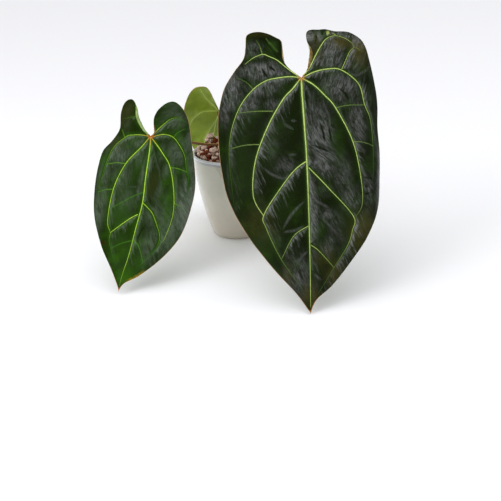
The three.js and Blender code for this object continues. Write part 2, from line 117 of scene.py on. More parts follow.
def deselect_all():
    if bpy.context.object and bpy.context.object.mode != "OBJECT":
        bpy.ops.object.mode_set(mode="OBJECT")
    bpy.ops.object.select_all(action="DESELECT")


def make_active(piece):
    deselect_all()
    piece.select_set(True)
    bpy.context.view_layer.objects.active = piece


def apply_place(piece):
    """Leaves the object at the origin, unturned and unscaled, with its place in its mesh."""
    make_active(piece)
    bpy.ops.object.transform_apply(location=True, rotation=True, scale=True)


def add_modifier(piece, kind, **settings):
    """Adds a modifier with its settings and applies it."""
    make_active(piece)
    modifier = piece.modifiers.new(kind.lower(), kind)
    for name, value in settings.items():
        setattr(modifier, name, value)
    bpy.ops.object.modifier_apply(modifier=modifier.name)


def thicken(piece, thickness, **others):
    """Gives a sheet its thickness, half of it on each side."""
    add_modifier(piece, "SOLIDIFY", thickness=thickness * MM, offset=0, use_rim=True, **others)


def mesh_object(name, points, faces, places=None):
    """A mesh from points in millimetres; places holds the names and values of its attributes."""
    mesh = bpy.data.meshes.new(name)
    mesh.from_pydata([tuple(point) for point in np.asarray(points) * MM], [], faces)
    for label, values in (places or {}).items():
        values = np.asarray(values, float)
        kind = "FLOAT" if values.ndim == 1 else "FLOAT_VECTOR"
        field = "value" if values.ndim == 1 else "vector"
        attribute = mesh.attributes.new(label, kind, "POINT")
        attribute.data.foreach_set(field, values.ravel())
    piece = bpy.data.objects.new(name, mesh)
    bpy.context.scene.collection.objects.link(piece)
    return piece


def smooth(piece, degrees=None):
    """Shades a piece smooth, all over or except across edges sharper than so many degrees."""
    make_active(piece)
    if degrees is None:
        bpy.ops.object.shade_smooth()
    else:
        bpy.ops.object.shade_smooth_by_angle(angle=math.radians(degrees))


def dress(piece, slot, *materials):
    """Gives a piece its finishes. Every piece rides on the one body."""
    piece.data.materials.clear()
    for material in materials:
        piece.data.materials.append(material)
    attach(piece, "root")


def join_pieces(name, pieces):
    make_active(pieces[0])
    for piece in pieces:
        piece.select_set(True)
    bpy.ops.object.join()
    whole = bpy.context.object
    whole.name = name
    whole.data.name = name
    return whole


def edit_mesh(piece, change):
    """Lets change work on a piece's mesh as a bmesh."""
    work = bmesh.new()
    work.from_mesh(piece.data)
    change(work)
    work.to_mesh(piece.data)
    work.free()


def face_outwards(piece):
    edit_mesh(piece, lambda work: bmesh.ops.recalc_face_normals(work, faces=work.faces))


def merge_and_face(piece, out):
    """Closes the seams of a sheet and turns its faces to the side that out points to."""

    def change(work):
        bmesh.ops.remove_doubles(work, verts=work.verts, dist=MERGE_GAP * MM)
        total = sum((face.normal * face.calc_area() for face in work.faces), Vector())
        if total.dot(Vector(out)) < 0:
            bmesh.ops.reverse_faces(work, faces=work.faces)

    edit_mesh(piece, change)


def grid_faces(count, wide, around=False):
    """Faces between count rows of points, each wide points long; around joins each row's ends."""
    faces = []
    for i in range(count - 1):
        for j in range(wide if around else wide - 1):
            here, beside = i * wide + j, i * wide + (j + 1) % wide
            faces.append((here, beside, beside + wide, here + wide))
    return faces


def skin_rings(rings):
    """Points and faces of a tube through rings of points, with its ends closed."""
    count, sides = len(rings), len(rings[0])
    last = (count - 1) * sides
    faces = grid_faces(count, sides, around=True)
    faces.append(tuple(range(sides))[::-1])
    faces.append(tuple(range(last, last + sides)))
    return np.asarray(rings).reshape(-1, 3), faces


# Smooth lines
def cubic_step(start, end, leave, arrive, share):
    """A smooth step from start to end, with the directions in which it leaves and arrives."""
    cubic = 2 * start - 2 * end + leave + arrive
    square = -3 * start + 3 * end - 2 * leave - arrive
    return cubic * share**3 + square * share**2 + leave * share + start


def through(points, place):
    """The smooth curve through points, at places counted from 0 to the last point's number."""
    points = np.asarray(points, float)
    place = np.asarray(place, float)
    last = len(points) - 1
    here = np.clip(np.floor(place).astype(int), 0, last - 1)
    share = (place - here)[:, None]
    before, start = points[np.maximum(here - 1, 0)], points[here]
    end, after = points[here + 1], points[np.minimum(here + 2, last)]
    return cubic_step(start, end, (end - before) / 2, (after - start) / 2, share)


def smooth_route(points, count):
    """Evenly spaced places on a smooth line through points whose spacing may vary a lot."""
    points = np.asarray(points, float)
    ends = [2 * points[0] - points[1], *points, 2 * points[-1] - points[-2]]
    steps = 40
    fine = []
    for i in range(len(points) - 1):
        p0, p1, p2, p3 = ends[i : i + 4]
        t0, t1, t2 = (np.linalg.norm(b - a) ** 0.5 for a, b in ((p0, p1), (p1, p2), (p2, p3)))
        leave = ((p1 - p0) / t0 - (p2 - p0) / (t0 + t1) + (p2 - p1) / t1) * t1
        arrive = ((p2 - p1) / t1 - (p3 - p1) / (t1 + t2) + (p3 - p2) / t2) * t1
        for share in np.linspace(0, 1, steps, endpoint=i == len(points) - 2):
            fine.append(cubic_step(p1, p2, leave, arrive, share))
    fine = np.array(fine)
    run = np.concatenate([[0], np.cumsum(np.linalg.norm(np.diff(fine, axis=0), axis=1))])
    even = np.linspace(0, run[-1], count)
    return np.stack([np.interp(even, run, fine[:, axis]) for axis in range(3)], axis=1)


def line_length(line):
    return np.linalg.norm(np.diff(line, axis=0), axis=1).sum()


def directions(line):
    """Unit vectors along a line of points."""
    steps = np.gradient(line, axis=0)
    return steps / np.linalg.norm(steps, axis=1)[:, None]


def bell(values, width):
    """1 where the values are 0, and next to nothing beyond about twice the width."""
    return np.exp(-((values / width) ** 2))


def nearest_on(points, line):
    """Gap vectors from a polyline to points, their lengths, and the run along it to each."""
    steps = np.diff(line, axis=0)
    lengths = np.maximum(np.linalg.norm(steps, axis=1), 1e-6)
    starts = np.concatenate([[0], np.cumsum(lengths)[:-1]])
    gaps = np.zeros_like(points)
    distance = np.full(len(points), np.inf)
    run = np.zeros(len(points))
    for start, step, length, begun in zip(line[:-1], steps, lengths, starts):
        offset = points - start
        share = np.clip(offset @ step / length**2, 0, 1)
        gap = offset - share[:, None] * step
        reach = np.hypot(gap[:, 0], gap[:, 1])
        closer = reach < distance
        distance = np.where(closer, reach, distance)
        run = np.where(closer, begun + share * length, run)
        gaps = np.where(closer[:, None], gap, gaps)
    return gaps, distance, run


def wobble(points, size, seed=0.0):
    """Smooth random values from -1 to 1 at points in the plane, with features of one size."""
    return np.array([noise.noise(Vector((x / size, y / size, seed))) for x, y in points])


# Leaves. u runs across a blade and v along it from the stalk to the tip, both in millimetres.
# left and right hold the outline, from the notch over the lobe and down to the tip. lobe and
# shoulder are places on it: straight on from the lobe's spine, and at the lobe's end.
# veins: start width, end width, then points. ridges show as thin pale lines of painted sheen,
# creases are sunken slits painted dark as shade, and pleats are folds with a painted bright green
# highlight. grey, green, olive and shade hold patches: u, v, reach across and along, and strength.
# On the upper side grey is painted sheen and shade holds that painted sheen back, as painted
# shade; on the underside grey is a whitish bloom.
LARGE_LEAF = {
    "seat": (93.6, -130, 262.3),
    "tip": (85.8, -289.6, 5),
    "facing": 1,
    "arch": 6.5,
    "arch_middle": 125,
    "cross_radius": 475,
    "lobe_fall": 0.005,
    "ear_start": 36,
    "ear_fall": 0.006,
    "left_fold": (94, 0.04),
    "right_fold": (82, 0.055),
    "wave": 1.6,
    "spine_top": 20,
    "spine_end": 288,
    "steps": 150,
    "lobe_steps": 46,
    "rings": 84,
    "puff": 2.0,
    "puff_reach": 10,
    "left": {
        "points": [
            (0, 0), (-9, -7), (-19, -19), (-23, -32), (-23, -57), (-30, -69), (-44, -82),
            (-60, -87), (-69, -79), (-71, -49), (-74, -32), (-87, -14), (-101, 10), (-109, 42),
            (-110, 72), (-107, 114), (-98, 158), (-77, 201), (-46, 245), (-17, 278),
            (-4, 297), (0, 303),
        ],
        "lobe": 7.9,
        "shoulder": 11,
        "centre": (-46, -48),
    },
    "right": {
        "points": [
            (0, 0), (8, -10), (13, -25), (14.5, -40), (11, -54), (11, -70), (15, -79), (27, -81),
            (38, -84), (51, -76), (69, -76), (77.5, -69), (86, -52), (92, -25), (99, 8),
            (100, 33), (98, 62), (99, 94), (96, 130), (91, 172), (75, 209), (51, 242), (28, 269),
            (10, 284), (3, 294), (0, 303),
        ],
        "lobe": 10.4,
        "shoulder": 14,
        "centre": (48, -42),
    },
    "veins": [
        (2.3, 0.76, (0, 1), (0, 26), (1, 64), (2, 111), (2, 176), (1, 248), (0, 296)),
        (1.65, 0.5, (1, 1), (15, 10), (29, 25), (42, 42), (62, 87), (70, 135), (70, 168), (60, 185)),
        (1.65, 0.95, (-1, 1), (-12, 15), (-25, 29), (-46, 65), (-63, 109), (-67, 153), (-55, 179)),
        (1.56, 0.33, (-2, 0), (-14, -2), (-31, -1), (-46, 2), (-63, 13), (-81, 36), (-93, 69),
         (-96, 106), (-92, 161)),
        (1.31, 0.75, (-3, -1), (-19, -15), (-30, -26), (-41, -33), (-48, -36.5), (-57, -34),
         (-64, -30), (-72, -24)),
        (1.56, 0.33, (2, 0), (16, -7), (33, -11), (52, -10), (74, 9), (80, 37), (87, 60),
         (88, 100), (85, 140)),
        (1.39, 0.62, (2, -2), (11, -13), (20, -31), (29, -48), (37, -60), (48, -66), (61, -62),
         (70, -52), (72, -44)),
        (1.2, 0.42, (4, 120), (14, 131), (28, 147), (58, 183), (56, 201), (49, 220), (31, 247),
         (10, 279)),
        (0.98, 0.66, (3, 218), (13, 226), (31, 247)),
        (1.3, 0.45, (1, 112), (-12, 121), (-27, 138), (-54, 177), (-52, 195), (-34, 236),
         (-8, 274)),
        (0.98, 0.66, (1, 194), (-18, 206), (-34, 234)),
        (0.82, 0.61, (-38, 44), (-60, 43), (-86, 43)),
        (0.82, 0.66, (-57, 87), (-76, 87), (-94, 90)),
        (0.74, 0.66, (42, 42), (58, 39), (79, 38)),
        (0.74, 0.66, (62, 87), (75, 88), (88, 92)),
        (0.95, 0.6, (53, -11), (61, -28), (66, -38), (73, -44), (80, -39)),
        (0.8, 0.41, (-49, -37), (-51, -46), (-53, -54), (-56, -62)),
        (0.74, 0.41, (-63, 12), (-71, 2), (-83, -5)),
        (0.3, 0.2, (-38, -56), (-35, -49), (-29, -39)),
        (0.62, 0.5, (-43, -66), (-41, -60), (-39, -53)),
    ],
    "ridges": [
        [(26, 26), (28, 41), (33, 54), (33, 70), (36, 88)], [(7, 12), (9, 22), (13, 34)],
        [(90, -19), (85, -10), (73, -3), (64, -5), (61, -14)], [(77, -22), (67, -9)],
        [(-16, 58), (-9, 59)], [(-26, 60), (-21, 65), (-13, 70)], [(-70, 48), (-68, 60)],
        [(-21, 103), (-11, 103)], [(35, 102), (41, 112), (47, 123)],
        [(-3, 163), (-12, 171), (-22, 182), (-32, 198)], [(-32, 201), (-16, 199), (-5, 194)],
        [(-54, 117), (-43, 127), (-27, 133), (-21, 124)], [(-1, 225), (-9, 233), (-18, 246)],
        [(7, 160), (18, 167), (29, 173)], [(13, 179), (29, 197), (42, 211)], [(5, 254), (14, 262)],
        [(46, 123), (52, 135), (56, 147)], [(-99, 110), (-98, 128), (-97, 142), (-94, 156)],
        [(75, 139), (85, 142)], [(74, 150), (84, 149)], [(74, 162), (82, 162)],
        [(12, 44), (16, 58), (14, 70), (20, 84)], [(-63, -8), (-52, -12), (-44, -6)],
        [(26.5, -78), (27.5, -66)],
    ],
    "creases": [
        [(-51, -17), (-47, -8), (-42, -1)], [(-41, -18), (-37, -14), (-33, -10)],
        [(4, 11), (5, 29), (7, 44)], [(32, 67), (33, 78), (35, 89)], [(8, 90), (21, 96), (33, 102)],
        [(62, -30), (58, -22), (54, -14)], [(-79, -6), (-71, 1), (-64, 7)],
        [(-47, -75), (-43, -62), (-39, -49), (-30, -32), (-21, -17)],
        [(73, 133), (80, 134), (86, 137)], [(73, 144), (81, 146)], [(72, 156), (82, 153)],
        [(72, 168), (77, 173)], [(24, -78), (24, -64), (20, -48)], [(34, -78), (32, -66)],
        [(46, 14), (56, 24), (60, 34)], [(20, 60), (24, 74), (26, 90)],
    ],
    "pleats": [
        [(39, -81), (39, -65)], [(44, -81), (41, -68)], [(46, -72), (51, -67)],
    ],
    "grey": [
        (-50, -12, 27, 13, 1), (-92, 12, 15, 26, 0.95), (-50, 14, 20, 10, 0.7),
        (-33, -3, 22, 9, 1), (-100, 36, 8, 22, 0.55), (-62, -46, 13, 15, 0.5),
        (-70, 34, 12, 12, 0.8), (-36, 36, 14, 9, 0.5), (20, 76, 15, 34, 1), (22, 112, 16, 22, 0.95),
        (50, 14, 24, 22, 0.8), (40, -17, 20, 10, 0.8), (70, 62, 11, 26, 0.8),
        (42, -32, 15, 22, 1), (74, -14, 12, 24, 0.2), (62, -70, 26, 10, 1), (78, -56, 10, 14, 0.85),
        (46, 130, 12, 24, 0.45), (55, 160, 12, 16, 0.65), (12, 40, 6, 22, 0.5),
        (24, 150, 12, 8, 0.2), (36, 200, 10, 22, 0.35), (96, 140, 4, 56, 1),
        (78, 146, 8, 24, 0.6), (-24, 120, 14, 14, 0.5), (20, 58, 6, 14, 0.6),
        (14, -66, 9, 18, 1), (28, -66, 6, 14, 1), (8, 180, 6, 44, 0.8), (24, 181, 12, 7, 0.6),
        (34, 212, 14, 6, 0.4), (-14, 254, 15, 24, 0.6), (5, 266, 7, 14, 0.15),
        (-42, 84, 10, 28, 0.3), (22, 222, 10, 10, 0.45),
    ],
    "green": [
        (-80, 118, 18, 60, 0.4), (-46, 90, 12, 34, 0.3), (-36, -48, 7, 12, 1),
        (-66, -33, 9, 6, 0.8), (-22, 60, 14, 34, 0.1), (-30, 165, 20, 34, 0.35),
        (44, 90, 8, 34, 0.5), (30, 18, 8, 12, 0.6), (-62, 230, 20, 40, 0.6),
        (52, 180, 16, 30, 0.4), (18, 197, 6, 12, 0.6), (12, -30, 8, 14, 0.4), (-80, 62, 12, 16, 0.4),
        (34, -66, 16, 14, 0.8),
    ],
    "olive": [
        (54, -53, 14, 12, 0.9), (80, -40, 14, 22, 0.9), (72, 205, 22, 26, 0.6),
        (-60, 190, 20, 26, 0.3), (34, 255, 16, 18, 0.5), (22, -50, 8, 26, 0.5),
        (20, 235, 14, 14, 0.35), (-50, -78, 22, 10, 0.35), (0, 282, 12, 18, 0.5),
        (-28, 262, 8, 20, 0.4),
    ],
    "shade": [
        (95, 40, 9, 60, 0.95), (86, 100, 9, 40, 0.9), (80, 118, 9, 20, 0.9),
        (-34, -60, 10, 24, 0.7), (-54, -28, 14, 7, 0.75), (16, 24, 10, 18, 0.5),
        (-98, 140, 14, 44, 0.8), (-84, 105, 13, 46, 0.85), (26, -40, 7, 16, 0.6),
        (-30, 70, 14, 30, 0.6),
        (-62, 62, 16, 16, 0.8), (-70, 120, 14, 34, 0.75), (40, 122, 10, 12, 0.4),
        (36, 50, 10, 18, 0.4), (-46, 225, 22, 30, 0.8), (78, 184, 12, 26, 0.6),
        (44, 235, 12, 26, 0.5), (-60, 165, 12, 16, 0.4),
    ],
}

LEFT_LEAF = {
    "seat": (-112.6, -95, 187),
    "tip": (-165, -205, 11),
    "facing": 1,
    "arch": 5,
    "arch_middle": 90,
    "cross_radius": 350,
    "lobe_fall": 0.006,
    "ear_start": 26,
    "ear_fall": 0.008,
    "left_fold": (54, 0.04),
    "right_fold": (60, 0.05),
    "wave": 1.3,
    "spine_top": 14,
    "spine_end": 206,
    "steps": 110,
    "lobe_steps": 36,
    "rings": 64,
    "puff": 1.5,
    "puff_reach": 8,
    "left": {
        "points": [
            (0, 0), (-10.5, -6.5), (-23, -22), (-31, -41), (-38, -51), (-45, -54),
            (-49, -45), (-48.6, -25), (-45, -3), (-51.5, 17), (-61.5, 33), (-63.5, 56), (-60, 88),
            (-52, 125), (-35, 161), (-15, 190), (-3, 210), (0, 217),
        ],
        "lobe": 5.6,
        "shoulder": 9,
        "centre": (-35, -33),
    },
    "right": {
        "points": [
            (0, 0), (4.5, -7), (0, -18), (-1.5, -30), (2, -45), (9.5, -60), (19, -62),
            (33, -51.5), (45.5, -33), (55.5, -6), (65.5, 25), (72, 52), (73.5, 78), (70, 115),
            (62, 141), (46, 167), (24, 191), (6, 205), (0, 217),
        ],
        "lobe": 6.8,
        "shoulder": 10,
        "centre": (22, -36),
    },
    "veins": [
        (1.56, 0.6, (0, 1), (3, 20), (6, 60), (9, 95), (7, 130), (5, 165), (1, 195), (0, 210)),
        (1.27, 0.38, (-1, 2), (-9, 18), (-25, 45), (-34, 82), (-33, 126), (-26, 142), (-25, 154),
         (-13, 180)),
        (1.27, 0.6, (1, 2), (10, 10), (21, 21), (35, 38), (47, 71), (52, 102), (48, 133),
         (44, 143)),
        (1.05, 0.33, (-3, 1), (-13, 1), (-24, 3), (-34, 8), (-49, 31), (-54, 75), (-51, 105)),
        (1.05, 0.33, (3, 1), (10, -3), (19, -6), (31, -4), (43, 7), (52, 20), (57, 36), (64, 54),
         (66, 84)),
        (0.98, 0.41, (-3, 1), (-12, -8), (-21, -17), (-27, -24), (-43, -18)),
        (1.07, 0.41, (2, 0), (6, -8), (13, -19), (22, -31), (31, -34), (42, -30)),
        (0.98, 0.33, (9, 94), (18, 100), (25, 106), (32, 117), (39, 130), (41, 139), (39, 150),
         (32, 162), (22, 178)),
        (1.15, 0.9, (6, 111), (-4, 119), (-26, 142)),
        (0.74, 0.66, (-25, 45), (-38, 46), (-51, 50)),
        (0.74, 0.49, (-34, 83), (-43, 85), (-54, 90)),
        (0.74, 0.66, (35, 39), (46, 38), (59, 40)),
        (0.66, 0.41, (50, 86), (61, 90), (66, 93)),
        (0.66, 0.49, (6, 146), (14, 151), (20, 161), (25, 173)),
        (0.49, 0.29, (8, 79), (-7, 89), (-19, 99), (-33, 110)),
        (0.41, 0.29, (5, 147), (-9, 154), (-20, 162)),
        (0.66, 0.37, (-35, 8), (-38, 3), (-41, -2)),
        (0.49, 0.29, (32, -6), (35, -12), (44, -20)),
    ],
    "ridges": [
        [(6, 12), (9, 20), (15, 34), (22, 46), (26, 56), (30, 64)], [(-20, 74), (-10, 76), (0, 73)],
        [(28, 132), (30, 142), (28, 152)], [(-22, 150), (-19, 162), (-13, 172)],
    ],
    "creases": [
        [(12, 146), (14, 136), (19, 122)], [(16, 84), (21, 94)],
    ],
    "pleats": [],
    "grey": [
        (66, 30, 12, 40, 1), (67, 84, 13, 46, 1.9), (50, 120, 20, 40, 0.9), (30, 148, 12, 26, 0.75),
        (-36, 34, 18, 18, 0.8), (-13, 13, 11, 8, 0.9), (-27, 62, 13, 26, 0.6),
        (-35, -10, 5, 12, 0.2), (-41, -36, 4, 12, 0.2), (16, -52, 14, 9, 0.6),
        (26, -32, 18, 16, 0.75), (54, -4, 8, 24, 0.8), (42, 16, 15, 20, 0.9),
        (25, 104, 10, 20, 0.8), (27, 74, 6, 16, 0.5), (12, -2, 8, 6, 0.5), (-52, 68, 9, 26, 0.7),
        (20, 20, 5, 16, 0.5), (-48, 112, 9, 40, 0.8), (1, 64, 4, 34, 0.95), (-13, 94, 12, 20, 0.5),
        (31, 44, 5, 14, 0.7), (-8, 34, 6, 14, 0.6),
    ],
    "green": [
        (-8, 44, 9, 26, 0.4), (-18, 116, 18, 18, 0.6), (-8, 160, 20, 26, 0.5),
        (44, 88, 6, 50, 0.6), (34, 52, 7, 20, 0.45), (6, 196, 18, 16, 1), (20, 176, 10, 14, 0.7),
        (-14, 88, 14, 14, 0.3), (0, 130, 10, 20, 0.3),
    ],
    "olive": [
        (18, 66, 8, 22, 0.6), (-41, -24, 11, 28, 0.7), (-46, 18, 10, 12, 0.6),
        (48, -42, 8, 12, 0.7), (-50, 20, 6, 16, 0.4),
    ],
    "shade": [
        (17, 66, 9, 24, 0.95), (15, 134, 8, 16, 0.8), (-46, -30, 10, 26, 0.75),
        (40, -38, 7, 14, 0.5), (-16, 118, 16, 18, 0.6), (-8, 164, 16, 24, 0.7),
        (45, 84, 6, 40, 0.8), (8, 190, 14, 20, 0.8), (22, 92, 7, 9, 0.8), (-20, 48, 7, 14, 0.5),
        (-48, 14, 7, 14, 0.6),
    ],
}

SMALL_MARGIN = [
    (0, 0), (4, -9), (12, -27), (20, -45), (28, -56), (36, -59), (44, -53), (51, -35), (54.5, -8),
    (50.5, 18), (44, 48), (36, 77), (26, 104), (13, 128), (3, 143), (0, 149),
]
SMALL_VEINS = [
    (2, 0.8, (2, -1), (11, -13), (25, -31), (36, -53)),
    (1.9, 0.6, (2, 0), (17, 2), (27, 6), (38, 23), (42, 45)),
    (1.6, 0.6, (0, 14), (3, 30), (8, 48), (12, 68), (13, 96)),
]


def mirrored(points):
    return [(-0.96 * u, v) for u, v in points]


SMALL_LEAF = {
    "seat": (-20.3, 34, 183.5),
    "tip": (-50, 114, 62),
    "facing": -1,
    "arch": 4,
    "arch_middle": 62,
    "cross_radius": 250,
    "lobe_fall": 0.002,
    "ear_start": 20,
    "ear_fall": 0,
    "left_fold": (48, 0.03),
    "right_fold": (48, 0.03),
    "wave": 1,
    "spine_top": 10,
    "spine_end": 140,
    "steps": 66,
    "lobe_steps": 26,
    "rings": 36,
    "puff": 1.1,
    "puff_reach": 6,
    "left": {
        "points": mirrored(SMALL_MARGIN), "lobe": 6.2, "shoulder": 9, "centre": (-29, -30),
    },
    "right": {"points": SMALL_MARGIN, "lobe": 6.2, "shoulder": 9, "centre": (30, -30)},
    "veins": [
        (2, 0.7, (0, 1), (1, 40), (0, 90), (0, 142)),
        *SMALL_VEINS,
        *[(start, end, *mirrored(points)) for start, end, *points in SMALL_VEINS],
    ],
    "ridges": [],
    "creases": [],
    "pleats": [],
    "grey": [
        (12, -24, 7, 16, 0.9), (26, -47, 9, 13, 0.9), (-12, -24, 7, 16, 0.9), (-26, -47, 9, 13, 0.9),
    ],
    "green": [(0, 40, 30, 60, 0.6)],
    "olive": [(0, -20, 40, 30, 0.5)],
    "shade": [],
}

BLADE_THICKNESS = 0.55
# Veins that start narrower than FINE_VEIN are fine ones. TAPER is how late a vein narrows, and
# SOFTNESS rounds the crease half way between two veins. VEIN_FADE ends the bands beside a vein
# over its last stretch, from FADE_START on. LIT_SIDE points to the side of a vein that has the
# painted sheen, HALO_REACH is how far a vein's glow spreads, and FAR is beyond every reach.
# LINE_TAPER thins a fold's ends, and PATCH_EDGE is how firmly a patch ends.
FINE_VEIN = 0.9
TAPER = 1.5
SOFTNESS = 4.5
VEIN_FADE = 5
FADE_START = 0.7
LIT_SIDE = (0.82, 0.57)
HALO_REACH = 1.1
FAR = 60.0
LINE_TAPER = 1.6
PATCH_EDGE = 2.6
RIB_SIDES = 10
# A rib rises RIB_LIFT and RIB_RISE of its width above the blade, and goes RIB_DEPTH of its width
# below it, or FINE_RIB_DEPTH where the vein is fine
RIB_LIFT, RIB_RISE = 0.1, 0.12
RIB_DEPTH, FINE_RIB_DEPTH = 0.35, 0.15
# Heights and widths of the dips at fine veins, and of ridges, creases and pleats
FINE_DIP, FINE_DIP_WIDTH = 0.4, 2.6
RIDGE_HEIGHT, CREASE_DEPTH, FOLD_WIDTH = 0.45, 0.55, 1.7
PLEAT_HEIGHT, PLEAT_WIDTH = 0.7, 1.5
# The panels go flat over the last CALM_MARGIN before the margin, where the rings of points crowd
CALM_MARGIN = 7
EDGE_CROWDING = 1.3
# Sizes and shares of the panels' fine streaks and wide rumples, and of the margin's ripples
STREAK_SIZE, STREAK_STRETCH, STREAK_SHARE = 6.5, 0.22, 0.4
RUMPLE_SIZE, RUMPLE_SHARE = 24, 0.9
WAVES_PER_PLACE = 2.2
RIPPLE_SIZE, RIPPLE_HEIGHT = 9, 0.5


def leaf_axes(leaf):
    """Where u and v are 0, and the directions of u, of v and out of the blade's upper side."""
    seat = np.array(leaf["seat"], float)
    along = np.array(leaf["tip"]) - seat
    along /= np.linalg.norm(along)
    across = np.array([leaf["facing"], 0, 0], float)
    across -= across.dot(along) * along
    across /= np.linalg.norm(across)
    return seat, across, along, np.cross(along, across)


# The right ear bends back less than the left one
RIGHT_EAR = 0.6


def beyond(values, start):
    """The square of how far values are past start, and 0 before it."""
    return np.maximum(0, values - start) ** 2


def relief(leaf, u, v):
    """Height of the smooth blade above its flat layout."""
    middle = leaf["arch_middle"]
    arched = leaf["arch"] * (1 - ((v - middle) / middle) ** 2)
    height = -(u**2) / (2 * leaf["cross_radius"])
    height += np.where(v > 0, arched, -leaf["lobe_fall"] * v**2)
    height -= leaf["ear_fall"] * beyond(-v, leaf["ear_start"]) * np.where(u < 0, 1, RIGHT_EAR)
    height -= leaf["right_fold"][1] * beyond(u, leaf["right_fold"][0])
    height -= leaf["left_fold"][1] * beyond(-u, leaf["left_fold"][0])
    return height


def half_columns(leaf, half):
    """Inner ends, outer ends and outline places of the columns of one half blade."""
    last = len(half["points"]) - 1
    top = np.array([0, leaf["spine_top"]], float)
    centre = np.array(half["centre"], float)
    end = np.array([0, leaf["spine_end"]], float)
    lobe, shoulder = half["lobe"], half["shoulder"]
    inner, place = [top], [0]
    for count, start, stop, first, final in (
        (leaf["lobe_steps"], top, centre, 0, lobe),
        (leaf["lobe_steps"], centre, top, lobe, shoulder),
        (leaf["steps"], top, end, shoulder, last),
    ):
        for i in range(1, count + 1):
            inner.append(start + (stop - start) * i / count)
            place.append(first + (final - first) * i / count)
    return np.array(inner), through(half["points"], place), np.array(place)


def plan_line(points, spacing=2.0):
    """A smooth line in the plan, and how far along it each place is, from 0 to 1."""
    points = np.array(points, float)
    share = np.linspace(0, 1, max(4, int(line_length(points) / spacing)))
    return through(points, share * (len(points) - 1)), share


def vein_fields(leaf, plan):
    """What the points of the plan have to do with the veins. near: distance to the nearest main
    vein, made more towards that vein's end. soft: the true distance, rounded half way between
    veins. side: 1 on the vein's lit side, -1 on the other. halo: how wide and near a vein is.
    fine: distance to the nearest fine vein."""
    near = np.full(len(plan), np.inf)
    fine = np.full(len(plan), FAR)
    side, crowd, halo = np.zeros((3, len(plan)))
    for start, end, *points in leaf["veins"]:
        line = plan_line(points)[0]
        gaps, distance, along = nearest_on(plan, line)
        share = along / line_length(line)
        width = start + (end - start) * share**TAPER
        beside = np.maximum(distance - width / 2, 0)
        halo = np.maximum(halo, (width / 2) * np.exp(-beside / HALO_REACH))
        if start < FINE_VEIN:
            fine = np.minimum(fine, distance)
            continue
        crowd += np.exp(-distance / SOFTNESS)
        distance = distance + VEIN_FADE * np.maximum(0, share - FADE_START) / (1 - FADE_START)
        closer = distance < near
        side = np.where(closer, gaps @ np.array(LIT_SIDE) / np.maximum(distance, 0.05), side)
        near = np.where(closer, distance, near)
    soft = np.maximum(-SOFTNESS * np.log(crowd), 0)
    return {"near": near, "soft": soft, "side": side, "halo": halo, "fine": fine}


def line_distance(plan, lines):
    """Distance to the nearest of some short lines, which taper off towards their ends."""
    distance = np.full(len(plan), FAR)
    for points in lines:
        line = plan_line(points, 1.5)[0]
        _, reach, along = nearest_on(plan, line)
        tapered = LINE_TAPER * np.abs(2 * along / line_length(line) - 1) ** 3
        distance = np.minimum(distance, reach + tapered)
    return distance


def patch_strength(plan, patches):
    """The strongest of some soft round patches at each point of the plan."""
    strength = np.zeros(len(plan))
    for u, v, across, along, most in patches:
        gap = np.hypot((plan[:, 0] - u) / across, (plan[:, 1] - v) / along)
        strength = np.maximum(strength, most * np.exp(-(gap**PATCH_EDGE)))
    return strength


def streak_place(plan):
    """Constant along the streaks, which run down the blade and slant away from its middle."""
    u, v = plan[:, 0], plan[:, 1]
    low = np.clip((v - 20) / 90, 0, 1)
    right = np.clip((u + 12) / 30, 0, 1)
    slant = 0.12 + 0.3 * low - 0.42 * right * (1 - low)
    return u - slant * (v - 20)


def sheet_height(leaf, plan, fields, margin):
    """Height of the quilted blade: relief, puffed panels between veins, and fine rumples."""
    puffed = 1 - np.exp(-fields["soft"] / leaf["puff_reach"])
    dips = FINE_DIP * bell(fields["fine"], FINE_DIP_WIDTH)
    calm = 1 - np.exp(-margin / CALM_MARGIN)
    streak_plan = np.column_stack([fields["streak"], STREAK_STRETCH * plan[:, 1]])
    streaks = STREAK_SHARE * wobble(streak_plan, STREAK_SIZE)
    rumples = RUMPLE_SHARE * wobble(plan, RUMPLE_SIZE, 3.0)
    height = relief(leaf, plan[:, 0], plan[:, 1])
    height += leaf["puff"] * puffed * (1 - dips) * calm
    height += (streaks + rumples) * puffed * calm * leaf["puff"] / 2
    height += RIDGE_HEIGHT * bell(fields["ridge"], FOLD_WIDTH)
    height -= CREASE_DEPTH * bell(fields["crease"], FOLD_WIDTH)
    height += PLEAT_HEIGHT * bell(fields["pleat"], PLEAT_WIDTH)
    return height


# The fields that each attribute of a blade holds
BLADE_FIELDS = {
    "vein_place": ("near", "side", "streak"),
    "halo_place": ("halo", "fine", "ridge"),
    "fold_place": ("crease", "pleat", "shade"),
    "tint_place": ("grey", "green", "olive"),
}


